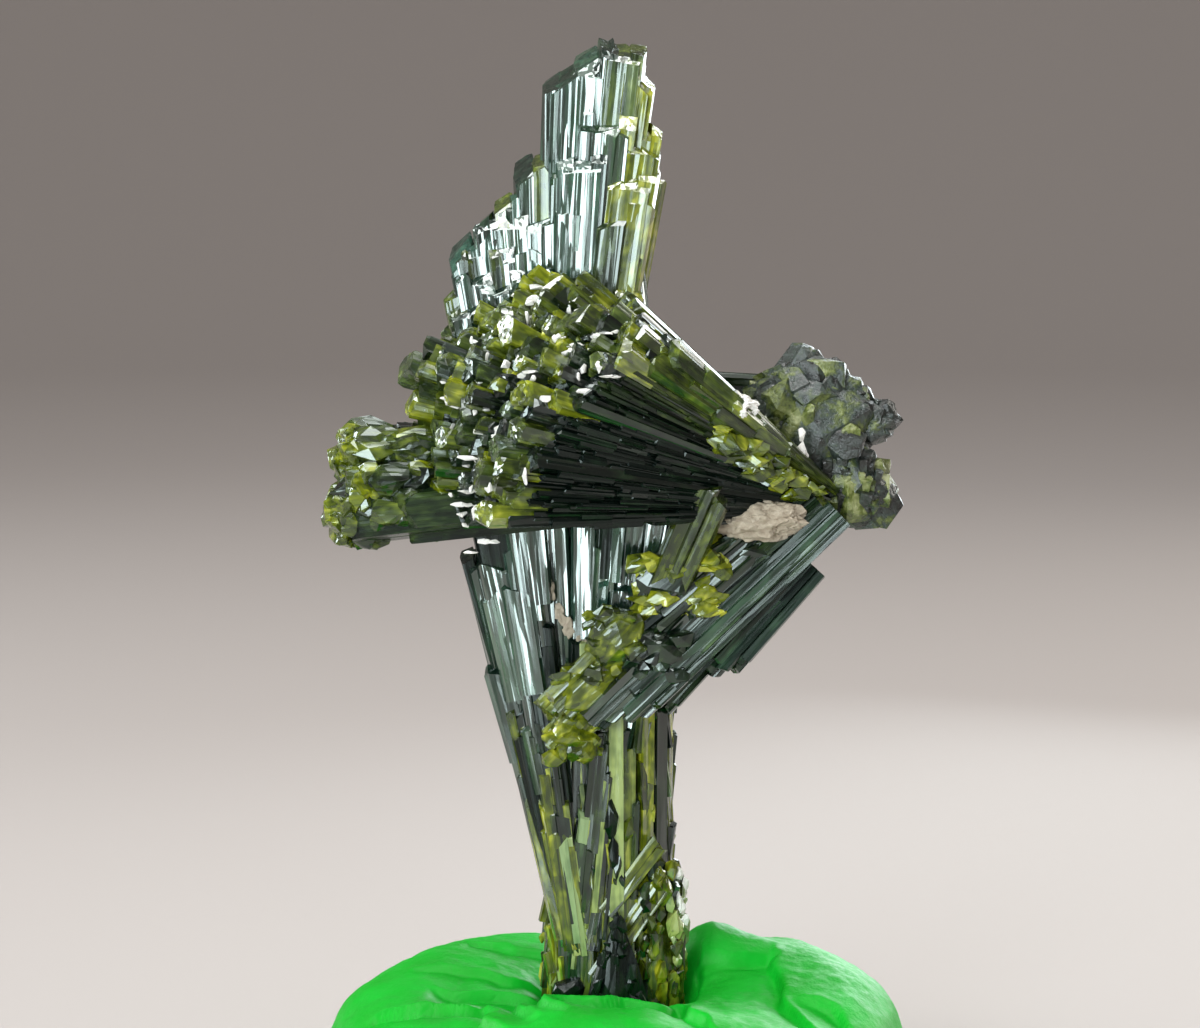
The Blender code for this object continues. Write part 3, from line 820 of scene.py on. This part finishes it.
DIAGONAL_LUMPS = (
    ((-0.1, -3.1, 21.2), (1.7, 1.1, 1.4), OLIVE),
    ((-1.3, -2.9, 18.9), (1.8, 1.1, 1.4), mixed(OLIVE, LIME, 0.6)),
    ((-2.0, -2.7, 17.0), (1.4, 1.1, 1.0), mixed(OLIVE, LIME, 0.8)),
    ((1.5, -3.2, 20.6), (1.4, 1.0, 1.4), DARK),
    ((5.2, -1.9, 24.6), (2.2, 1.0, 1.0), DARK),
    ((4.8, -0.4, 25.6), (2.5, 1.4, 1.9), DARK),
)
SLANT = Vector((0.73, 0, 0.68))
LIME_RODS = 2
SLANT_STRIPS = 60
LUMP_GRAINS = 16
LIME_GRAINS = 60
PALE_LIME = (0.9, 1.0, 0.4)
DARK_LUMP = ((2.2, -2.8, 23.3), (1.8, 1.0, 1.4))


def diagonal_sheaf():
    """Long dark rods that rise to the right, and the broken olive crystals on their lower end."""
    draw.seed(96)
    made, rods = [], []
    for spec in DIAGONAL[:LIME_RODS]:
        made += split_rod(*spec, mixed(OLIVE, LIME, 0.6), strip=0.5)
    for spec in DIAGONAL[LIME_RODS:]:
        rods += split_rod(*spec, mixed(DARK, TEAL, 0.7 * draw.random()), strip=0.4, drop=1.2)
    for _ in range(SLANT_STRIPS):
        low = Vector((draw.uniform(0.0, 4.5), -2.9 + swing(0.2), draw.uniform(17.9, 20.0)))
        low.z += 0.55 * low.x
        length = draw.uniform(1.5, 5.0)
        high = low + Vector((0.72, 0.16, 0.68)).normalized() * length
        rods.append(rod(low, high, draw.uniform(0.25, 0.5), draw.uniform(0.4, 0.7),
                        varied(mixed(DARK, TEAL, draw.random())), turn=swing(0.4),
                        slope=(swing(0.6), swing(0.5))))
    made += split_rod(*GREEN_ROD, mixed(GREEN, OLIVE, 0.4), strip=0.7, drop=0.3)
    made += split_rod(*BEHIND_ROD, DARK)
    for spec in FOOT_RODS:
        made += split_rod(*spec, mixed(OLIVE, LIME, 0.3), strip=0.45)
    for middle, sizes, tone in DIAGONAL_LUMPS:
        made.append(lump(middle, sizes, tone, 30, SLANT))
        for _ in range(LUMP_GRAINS):
            spot = Vector(middle) + Vector([swing(0.75) * s for s in sizes])
            spot.y = middle[1] - sizes[1] * draw.uniform(0.3, 0.75)
            size = draw.uniform(0.25, 0.55)
            made.append(grain(spot, size, (1.3, 0.7, 1), varied(tone, 0.2), 12, SLANT))
    for _ in range(LIME_GRAINS):
        spot = (draw.uniform(0.9, 3.8), -3.2 + swing(0.3), draw.uniform(22.2, 24.5))
        size = draw.uniform(0.4, 0.9)
        tone = varied(mixed(OLIVE, PALE_LIME, draw.random() ** 0.5), 0.1)
        made.append(grain(spot, size, (1.3, 0.6, 0.7), tone, 13, SLANT))
    made.append(lump(*DARK_LUMP, DARK, 30, SLANT))
    return (gathered("diagonal_sheaf", made + rods[1::3]), gathered("diagonal_rods", rods[::3]),
            gathered("diagonal_dark", rods[2::3]))


# Broken block at the right, pale matrix and white chip

BLOCK = (
    ((8.3, 0.2, 29.6), (2.7, 1.8, 2.6)), ((7.9, 0.5, 30.8), (2.1, 1.6, 1.7)),
    ((6.6, 0.3, 30.5), (1.4, 1.5, 1.4)), ((9.6, 0.1, 27.4), (1.4, 1.5, 1.8)),
    ((10.6, 0.0, 30.1), (0.7, 0.6, 0.7)), ((9.9, -0.1, 26.8), (1.2, 1.3, 0.9)),
)
SLATE = (0.22, 0.0, 0.0)
MOSS = (0.50, 0.0, 0.0)
SOOT = (0.0, 0.0, 0.0)
# Chips on a chunk: how far out, how many, size, depth, height, tones and points
BLOCK_CHIPS = (
    (0.72, 22, (0.5, 1.3), 0.7, (0.6, 1.1), (SLATE, MOSS, MOSS, MOSS, SOOT), 20),
    (0.88, 30, (0.25, 0.6), 0.8, (0.6, 1.4), (SLATE, MOSS, MOSS, SOOT), 12),
)
BLOCK_RODS = 26


def broken_block():
    """Angular chunks of slate grey, moss and black, with stubby crystals below."""
    draw.seed(107)
    made = []
    for middle, sizes in BLOCK:
        small = sizes[0] < 1
        made.append(lump(middle, [s * 1.06 for s in sizes], SOOT if small else SLATE, 34))
        for reach, count, limits, deep, heights, tones, points in BLOCK_CHIPS:
            for _ in range(count):
                spot = on_ellipsoid(middle, sizes, any_way(), reach)
                size = draw.uniform(*limits) * min(1.0, sizes[0])
                tone = SOOT if small else draw.choice(tones)
                made.append(lump(spot, (size, size * deep, size * draw.uniform(*heights)),
                                 varied(tone, 0.1), points))
    for _ in range(BLOCK_RODS):
        spot = Vector((draw.uniform(8.6, 10.6), -1.0 + draw.uniform(-0.3, 0.5), draw.uniform(26.2, 28.0)))
        top = spot + Vector((draw.uniform(-0.2, 0.3), -0.1, draw.uniform(0.5, 1.2)))
        size = draw.uniform(0.3, 0.7)
        made.append(rod(top, spot - Vector((0, -0.4, 0.5)), size, size,
                        varied(draw.choice((SOOT, MOSS))), step=0.2))
    return gathered("broken_block", made)


# Name, middle, radii, seed and roughness of the rounded stones
TAN_MATRIX = ("pale_matrix", (5.6, -2.5, 26.0), (2.0, 1.0, 0.9), 3, 0.25)
WHITE_CHIP = ("white_chip", (4.75, -4.0, 30.8), (0.75, 0.55, 0.5), 8, 0.35)
STONE_DETAIL = 5


def rough_lump(name, middle, sizes, seed, swell):
    """A rounded grain with an uneven surface."""
    shape = bmesh.new()
    bmesh.ops.create_icosphere(shape, subdivisions=STONE_DETAIL, radius=1.0)
    offset = Vector((seed * 3.7, seed * 1.3, seed * 2.1))
    for vertex in shape.verts:
        way = vertex.co.normalized()
        rough = noise.fractal(way * 2.2 + offset, 0.8, 2.0, 5)
        vertex.co = Vector(middle) * MM + Vector(
            [w * s * (1 + swell * rough) * MM for w, s in zip(way, sizes)])
    return piece_of(shape, name)


# Putty patty

PUTTY_PROFILE = (
    (0.0, 4.0), (1.6, 4.0), (2.5, 4.3), (3.1, 5.0), (4.0, 5.7), (5.2, 6.0), (6.6, 6.2), (8.4, 6.3),
    (9.6, 6.05), (10.6, 5.6), (11.5, 4.8), (12.0, 3.8), (12.2, 2.8), (12.0, 1.7), (11.5, 0.8),
    (11.0, 0.25), (10.5, 0.0), (9.0, 0.0), (5.0, 0.0), (0.0, 0.0),
)
PUTTY_AROUND = 400
PUTTY_STEP = 0.13
# Below the first height the patty is less uneven, and below the second it has no folds
PUTTY_SOFT_Z = 3.0
FOLDS_Z = 3.5
# Swellings (x, y, radius, height) and folds (x, y to x, y, depth) pushed up by fingers
SWELLINGS = (
    (3.4, 2.3, 2.0, 1.5), (5.2, 2.6, 3.4, 0.7), (-5.5, 1.5, 3.0, 0.25), (0.5, -5.0, 2.6, 0.25),
    (-7.0, -3.0, 2.0, -0.3), (7.5, -4.0, 2.5, -0.3),
)
FOLDS = (
    (-10.0, -3.6, -5.6, -4.4, 0.80), (-5.6, -4.4, -4.9, -8.5, 0.70), (-4.3, -2.6, -3.7, -8.0, 0.70),
    (-3.3, -2.4, -2.7, -7.0, 0.60), (-7.5, -1.2, -3.2, -1.9, 0.60), (-9.0, 0.8, -3.2, 0.2, 0.40),
    (3.6, 0.6, 2.7, -3.0, 0.70), (3.6, 0.4, 6.4, 1.0, 0.70), (6.4, 1.0, 7.8, -6.5, 0.60),
    (8.0, -3.2, 9.6, -5.2, 0.60), (-2.2, -4.6, 2.0, -4.4, 0.75), (2.4, -4.2, 3.6, -8.0, 0.70),
    (-6.5, 5.0, -2.5, 3.2, 0.40), (2.0, 5.0, 6.0, 6.5, 0.40), (-1.0, 6.0, 2.0, 7.5, 0.35),
)
FOLD_EDGE = 0.07
FOLD_REACH = 1.3


def putty_radius(angle):
    return 1 + 0.03 * math.sin(2 * angle + 0.6) + 0.02 * math.sin(3 * angle - 1.0)


def fold_height(x, y):
    """Height of the ledges that fingers pushed up: a lip on a line's left side, a drop on its right."""
    rise = 0.0
    wander = Vector([noise.noise(Vector((x * 0.5, y * 0.5, z))) for z in (3.0, 8.0)])
    here = Vector((x, y)) + wander * 0.9
    for x1, y1, x2, y2, depth in FOLDS:
        start, way = Vector((x1, y1)), Vector((x2 - x1, y2 - y1))
        share = (here - start).dot(way) / way.length_squared
        beyond = max(0.0, -share, share - 1) * way.length
        side = (way.x * (here.y - start.y) - way.y * (here.x - start.x)) / way.length
        if beyond < 1.5 and abs(side) < 3 * FOLD_REACH:
            fade = math.exp(-(beyond / 0.6) ** 2) * math.exp(-abs(side) / FOLD_REACH)
            fade *= math.sin(math.pi * clamped(0.12 + 0.76 * share)) ** 0.5
            rise += depth * fade * (0.5 * math.tanh(side / FOLD_EDGE) - 0.25)
    return rise


def smooth_profile(points, step):
    """Catmull-Rom curve through the profile's points, in steps of about one length."""
    made = []
    for i in range(len(points) - 1):
        p = [Vector(points[max(0, min(len(points) - 1, i + k))]) for k in (-1, 0, 1, 2)]
        fine = max(2, round((p[2] - p[1]).length / step)) if p[1].y > 0.9 else 4
        for j in range(fine):
            t = j / fine
            made.append(0.5 * (2 * p[1] + (p[2] - p[0]) * t
                               + (2 * p[0] - 5 * p[1] + 4 * p[2] - p[3]) * t * t
                               + (3 * p[1] - p[0] - 3 * p[2] + p[3]) * t ** 3))
    return made + [Vector(points[-1])]


def putty_point(radius, z, angle):
    """A point of the patty's surface: its profile, out of round, swollen, pressed and uneven."""
    wide = radius * (1 + (putty_radius(angle) - 1) * min(1.0, radius / 6))
    x, y = wide * math.cos(angle), wide * math.sin(angle)
    high = z * (1 + 0.04 * math.sin(3 * angle + 0.8) * min(1.0, radius / 5)) if z > 0 else 0.0
    top = clamped(z / PUTTY_SOFT_Z)
    if top > 0:
        rough = 0.10 * noise.fractal(Vector((x, y, z)) * 0.35, 0.9, 2.0, 3)
        rough += 0.03 * noise.fractal(Vector((x + 9, y, z)) * 1.6, 0.7, 2.0, 4)
        swell = sum(height * math.exp(-((x - at_x) ** 2 + (y - at_y) ** 2) / (reach * reach))
                    for at_x, at_y, reach, height in SWELLINGS)
        high += top * (1.2 * rough + swell + (fold_height(x, y) if z > FOLDS_Z else 0.0))
        x, y = x * (1 + 0.01 * rough), y * (1 + 0.01 * rough)
    return Vector((x, y, high)) * MM


def putty():
    """The patty, turned round the upright axis from its profile."""
    shape = bmesh.new()
    rings = []
    for radius, z in smooth_profile(PUTTY_PROFILE, PUTTY_STEP)[1:-1]:
        angles = [2 * math.pi * i / PUTTY_AROUND for i in range(PUTTY_AROUND)]
        rings.append([shape.verts.new(putty_point(radius, z, angle)) for angle in angles])
    join_rings(shape, rings)
    shape.faces.new(rings[0])
    shape.faces.new(list(reversed(rings[-1])))
    bmesh.ops.recalc_face_normals(shape, faces=shape.faces)
    piece = piece_of(shape, "putty_patty")
    piece.data.shade_smooth()
    return piece


# Materials

CLEAR_SHARE = 0.35


class Nodes:
    """Short names for building a material's nodes."""

    def __init__(self, name):
        self.material = bpy.data.materials.new(name)
        self.material.use_nodes = True
        self.tree = self.material.node_tree
        self.shader = self.tree.nodes["Principled BSDF"]

    def put(self, node, key, value):
        """Links an input to a socket, or gives it a value."""
        if isinstance(value, bpy.types.NodeSocket):
            self.tree.links.new(value, node.inputs[key])
        else:
            node.inputs[key].default_value = value

    def set(self, name, value):
        self.put(self.shader, name, value)

    def node(self, kind, inputs, **settings):
        made = self.tree.nodes.new(kind)
        for key, value in settings.items():
            setattr(made, key, value)
        for key, value in inputs.items():
            self.put(made, key, value)
        return made

    def math(self, operation, a, b, clamp=False):
        return self.node("ShaderNodeMath", {0: a, 1: b}, operation=operation, use_clamp=clamp).outputs[0]

    def times(self, a, b):
        return self.math("MULTIPLY", a, b)

    def plus(self, a, b, clamp=False):
        return self.math("ADD", a, b, clamp)

    def around(self, value, middle, scale):
        """How far a value is from a middle one, scaled."""
        return self.times(self.math("SUBTRACT", value, middle), scale)

    def vector(self, operation, inputs, output="Vector"):
        return self.node("ShaderNodeVectorMath", inputs, operation=operation).outputs[output]

    def sum(self, a, b):
        return self.vector("ADD", {0: a, 1: b})

    def less(self, a, b):
        return self.vector("SUBTRACT", {0: a, 1: b})

    def scaled(self, vector, scale):
        return self.vector("SCALE", {0: vector, 3: scale})

    def dot(self, a, b):
        return self.vector("DOT_PRODUCT", {0: a, 1: b}, "Value")

    def noise(self, place, scale, detail, rough):
        inputs = {"Vector": place, "Scale": scale, "Detail": detail, "Roughness": rough}
        return self.node("ShaderNodeTexNoise", inputs).outputs["Fac"]

    def ramp(self, value, stops):
        made = self.node("ShaderNodeValToRGB", {0: value})
        band = made.color_ramp
        while len(band.elements) < len(stops):
            band.elements.new(0.5)
        for element, (place, colour) in zip(band.elements, stops):
            element.position = place
            element.color = (*colour, 1)
        return made.outputs[0]

    def mix(self, share, a, b):
        return self.node("ShaderNodeMix", {0: share, 6: a, 7: b}, data_type="RGBA").outputs[2]

    def spread(self, value, low, high, to_low=0.0, to_high=1.0):
        """A value between two limits, as one between two others."""
        inputs = {0: value, 1: low, 2: high, 3: to_low, 4: to_high}
        return self.node("ShaderNodeMapRange", inputs).outputs[0]

    def bump(self, height, depth, strength):
        inputs = {"Height": height, "Distance": depth, "Strength": strength}
        return self.node("ShaderNodeBump", inputs).outputs[0]

    def attribute(self, name):
        return self.node("ShaderNodeAttribute", {}, attribute_name=name).outputs["Vector"]

    def tone(self):
        """The three numbers of the face's tone."""
        return self.node("ShaderNodeSeparateXYZ", {0: self.attribute("tone")}).outputs

    def millimetres(self):
        """The place on the object, in millimetres."""
        return self.scaled(self.node("ShaderNodeTexCoord", {}).outputs["Object"], 1 / MM)


EPIDOTE_IOR = 1.74
EPIDOTE_TINT = (0.90, 1.0, 0.96, 1)
STRIPS_A_MM = 7.0
STRIP_TILT = 0.32
TEAL_RAMP = (
    (0.05, (0.001, 0.004, 0.003)), (0.35, (0.007, 0.024, 0.016)), (0.65, (0.030, 0.09, 0.06)),
    (1.0, (0.16, 0.30, 0.21)),
)
OLIVE_RAMP = (
    (0.04, (0.001, 0.002, 0.0005)), (0.30, (0.016, 0.026, 0.001)), (0.52, (0.070, 0.092, 0.002)),
    (0.74, (0.19, 0.22, 0.004)), (1.0, (0.50, 0.50, 0.03)),
)


def epidote_material(name, gloss, rough):
    """Striated vitreous epidote. Each face's tone sets its lightness, hue and clearness."""
    n = Nodes(name)
    place = n.millimetres()
    axis = n.attribute("axis")
    light, yellow, clear = n.tone()
    length = n.scaled(axis, n.dot(place, axis))
    side = n.less(place, length)

    def drawn_out(across, along):
        return n.sum(n.scaled(side, across), n.scaled(length, along))

    cells = {"Vector": drawn_out(STRIPS_A_MM, 0.35), "Scale": 1.0}
    strips = n.node("ShaderNodeTexVoronoi", cells).outputs["Color"]
    lean = n.less(strips, (0.5, 0.5, 0.5))
    lean = n.less(lean, n.scaled(axis, n.times(n.dot(lean, axis), 0.7)))
    normal = n.sum(n.node("ShaderNodeNewGeometry", {}).outputs["Normal"], n.scaled(lean, STRIP_TILT))
    strip_shade = n.dot(strips, (0.33, 0.33, 0.34))
    streak = n.noise(drawn_out(8.0, 0.5), 1.0, 1.0, 0.6)
    # Cloud and flecks vary the body's colour at random, and their lighter spots are also painted light: glow
    # and glints inside the crystal
    cloud_and_inner_light = n.noise(drawn_out(1.3, 0.6), 1.0, 2.0, 0.6)
    fleck_and_glint = n.noise(drawn_out(3.0, 1.6), 1.0, 1.0, 0.5)
    flecks_and_glints = n.times(n.spread(fleck_and_glint, 0.45, 0.75, -0.1, 1.0), n.times(yellow, 0.28))
    depth = n.plus(n.plus(light, n.around(cloud_and_inner_light, 0.5, 0.9)), n.around(strip_shade, 0.5, 0.3))
    depth = n.plus(depth, flecks_and_glints, clamp=True)
    n.set("Base Color", n.mix(yellow, n.ramp(depth, TEAL_RAMP), n.ramp(depth, OLIVE_RAMP)))
    n.set("Roughness", n.spread(streak, 0.3, 0.7, rough, rough + 0.12))
    n.set("Transmission Weight", n.times(clear, CLEAR_SHARE))
    n.set("IOR", EPIDOTE_IOR)
    n.set("Specular IOR Level", gloss)
    n.set("Specular Tint", EPIDOTE_TINT)
    n.set("Normal", n.vector("NORMALIZE", {0: normal}))
    return n.material


BLOCK_IOR = 1.7
BLOCK_RAMP = (
    (0.38, (0.004, 0.006, 0.004)), (0.48, (0.018, 0.026, 0.020)), (0.56, (0.034, 0.050, 0.042)),
    (0.62, (0.030, 0.048, 0.010)), (0.74, (0.13, 0.16, 0.03)), (0.90, (0.36, 0.38, 0.18)),
)


def block_material():
    """Massive broken epidote: slate grey to moss green, as each chunk's tone says, with little shine."""
    n = Nodes("broken_epidote")
    place = n.millimetres()
    grains = n.noise(place, 4.0, 4.0, 0.65)
    value = n.plus(n.times(n.noise(place, 0.9, 4.0, 0.6), 0.9), n.times(grains, 0.5))
    n.set("Base Color", n.ramp(n.plus(value, n.around(n.tone()[0], 0.45, 0.6)), BLOCK_RAMP))
    n.set("Roughness", n.spread(grains, 0.3, 0.7, 0.2, 0.5))
    n.set("IOR", BLOCK_IOR)
    n.set("Normal", n.bump(grains, 0.0002, 0.5))
    return n.material


TAN_DARK, TAN_PALE = (0.30, 0.24, 0.17), (0.50, 0.43, 0.33)
WHITE_DARK, WHITE_PALE = (0.75, 0.72, 0.66), (0.9, 0.88, 0.84)


def stone_material(name, dark, pale, roughness):
    """Matte stone with grains from a dark to a pale colour."""
    n = Nodes(name)
    grains = n.noise(n.millimetres(), 2.6, 5.0, 0.7)
    n.set("Base Color", n.ramp(grains, ((0.3, dark), (0.7, pale))))
    n.set("Roughness", roughness)
    n.set("Normal", n.bump(grains, 0.0002, 0.7))
    return n.material


PUTTY_IOR = 1.33
PUTTY_GREENS = ((0.0, 0.34, 0.010, 1), (0.0, 0.43, 0.020, 1))


def putty_material():
    """Bright green modelling putty with a soft sheen and fine finger marks."""
    n = Nodes("green_putty")
    place = n.millimetres()
    broad = n.noise(place, 0.35, 3.0, 0.5)
    fine = n.noise(place, 5.0, 4.0, 0.6)
    n.set("Base Color", n.mix(n.spread(broad, 0.35, 0.65), *PUTTY_GREENS))
    n.set("Roughness", n.spread(fine, 0.3, 0.7, 0.42, 0.60))
    n.set("IOR", PUTTY_IOR)
    n.set("Normal", n.bump(fine, 0.00008, 0.35))
    return n.material


# Stage, lights and camera

CAMERA_DISTANCE = 150.0
CAMERA_RISE = math.radians(6.0)
CAMERA_TARGET = Vector((-0.84, 0.0, 26.0))
PHOTO_WIDTH = 1200
PHOTO_SCALE = 0.042
SENSOR = 36.0
CLIP_START = 0.005


def plain_material(name, colour, roughness):
    n = Nodes(name)
    n.set("Base Color", (*colour, 1))
    n.set("Roughness", roughness)
    return n.material


FLOOR_RADIUS = 0.50
BEND_RADIUS = 0.35
WALL_TOP = 0.90
STAGE_SIDES = 96
STAGE_BENDS = 16
STAGE_COLOUR = (0.42, 0.385, 0.365)
STAGE_ROUGHNESS = 0.9


def stage():
    """A pale round floor that curves up into a wall on every side."""
    profile = []
    for i in range(STAGE_BENDS + 1):
        angle = math.pi / 2 * i / STAGE_BENDS
        profile.append((FLOOR_RADIUS + BEND_RADIUS * math.sin(angle), BEND_RADIUS * (1 - math.cos(angle))))
    profile.append((FLOOR_RADIUS + BEND_RADIUS, WALL_TOP))
    shape = bmesh.new()
    rings = []
    for radius, z in profile:
        angles = [2 * math.pi * i / STAGE_SIDES for i in range(STAGE_SIDES)]
        rings.append([shape.verts.new((radius * math.cos(a), radius * math.sin(a), z)) for a in angles])
    shape.faces.new(rings[0])
    join_rings(shape, rings)
    bowl = piece_of(shape, "stage")
    bowl.data.shade_smooth()
    bowl.data.materials.append(plain_material("pale_stage", STAGE_COLOUR, STAGE_ROUGHNESS))


COOL, WARM = (0.86, 0.96, 1.0), (1.0, 0.97, 0.9)
# Name, place, size, power, colour and spread in degrees of the lamps that look at the specimen
LAMPS = (
    ("top", (-0.03, -0.05, 0.32), (0.20, 0.20), 0.85, (1, 1, 1), 180),
    ("overhead", (0.0, 0.0, 1.1), (1.2, 1.2), 5.0, (1.0, 0.97, 0.95), 180),
    ("right_rim", (0.26, 0.20, 0.12), (0.08, 0.16), 0.16, WARM, 110),
    ("left_rim", (-0.30, 0.12, 0.12), (0.08, 0.16), 0.20, (0.9, 0.97, 1.0), 110),
)
LAMP_TARGET = Vector((0, 0, 0.026))
# Upright soft boxes: turn in degrees from the viewer, width, lower edge and power
SOFT_BOXES = ((-25, 0.060, 0.005, 0.070), (16, 0.008, 0.005, 0.0080), (158, 0.060, 0.014, 0.044))
BOX_REACH = 0.13
BOX_TOP = 0.091
BOX_SPREAD = 110
WORLD_GREY = 0.80
WORLD_STRENGTH = 0.2


def area_light(name, place, size, power, colour, spread, target=LAMP_TARGET):
    light = bpy.data.lights.new(name, "AREA")
    light.shape = "RECTANGLE"
    light.size, light.size_y = size
    light.energy = power
    light.color = colour
    light.spread = math.radians(spread)
    lamp = added(name, light)
    lamp.location = place
    lamp.rotation_euler = (target - Vector(place)).to_track_quat("-Z", "Y").to_euler()
    lamp.visible_camera = False


def lights():
    """Lamps round the specimen, upright soft boxes that its faces mirror, and a dim grey world."""
    for lamp in LAMPS:
        area_light(*lamp)
    for turn, width, low, power in SOFT_BOXES:
        way = math.radians(turn)
        spot = Vector((BOX_REACH * math.sin(way), -BOX_REACH * math.cos(way), (low + BOX_TOP) / 2))
        area_light(f"front_{turn}", spot, (width, BOX_TOP - low), power, COOL, BOX_SPREAD,
                   Vector((0, 0, spot.z)))
    world = bpy.data.worlds.new("studio")
    world.use_nodes = True
    back = world.node_tree.nodes["Background"]
    back.inputs["Color"].default_value = (WORLD_GREY, WORLD_GREY, WORLD_GREY, 1)
    back.inputs["Strength"].default_value = WORLD_STRENGTH
    bpy.context.scene.world = world


def camera():
    """A distant camera with the photograph's frame, a little above the specimen."""
    data = bpy.data.cameras.new("camera")
    data.sensor_width = SENSOR
    data.lens = SENSOR * CAMERA_DISTANCE / (PHOTO_WIDTH * PHOTO_SCALE)
    data.clip_start = CLIP_START
    seen = added("camera", data)
    back = Vector((0, -math.cos(CAMERA_RISE), math.sin(CAMERA_RISE)))
    seen.location = (CAMERA_TARGET + back * CAMERA_DISTANCE) * MM
    seen.rotation_euler = (-back).to_track_quat("-Z", "Y").to_euler()
    bpy.context.scene.camera = seen


def dress(piece, material, node):
    """Gives a piece its material, hangs it on the root and hides the solid that it stands for."""
    piece.data.materials.clear()
    piece.data.materials.append(material)
    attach(piece, "root")
    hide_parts(node)


bpy.context.scene.view_settings.view_transform = "Standard"
camera()
stage()
lights()

bright = epidote_material("bright_epidote", 1.0, 0.09)
clear = epidote_material("clear_epidote", 0.5, 0.14)
dark = epidote_material("dark_epidote", 0.2, 0.22)
fan_body, fan_edge = fan()
lower_fan, recess = skirt()
sheaf, painted_shade_side, crust_and_glints = cross_sheaf()
diagonal, diagonal_rods, diagonal_dark = diagonal_sheaf()
lobe_ends, lobe_sides = left_lobes()
for material, pieces in (
    (bright, (fan_body, lower_fan, diagonal_rods)),
    (clear, (fan_edge, skirt_foot(), sheaf, trunk(), lobe_ends, diagonal, foot_grains_and_highlight())),
    (dark, (painted_shade_side, black_inclusions(), recess, lobe_sides, diagonal_dark)),
):
    for piece in pieces:
        dress(piece, material, "epidote_cluster")
dress(broken_block(), block_material(), "epidote_cluster")
tan = stone_material("tan_matrix", TAN_DARK, TAN_PALE, 0.8)
for piece in (rough_lump(*TAN_MATRIX), pale_seam()):
    dress(piece, tan, "epidote_cluster")
# The white stone also colours the painted glints on the sheaf's tips
white = stone_material("white_stone_and_glints", WHITE_DARK, WHITE_PALE, 0.6)
for piece in (rough_lump(*WHITE_CHIP), crust_and_glints):
    dress(piece, white, "epidote_cluster")
dress(putty(), putty_material(), "putty_base")
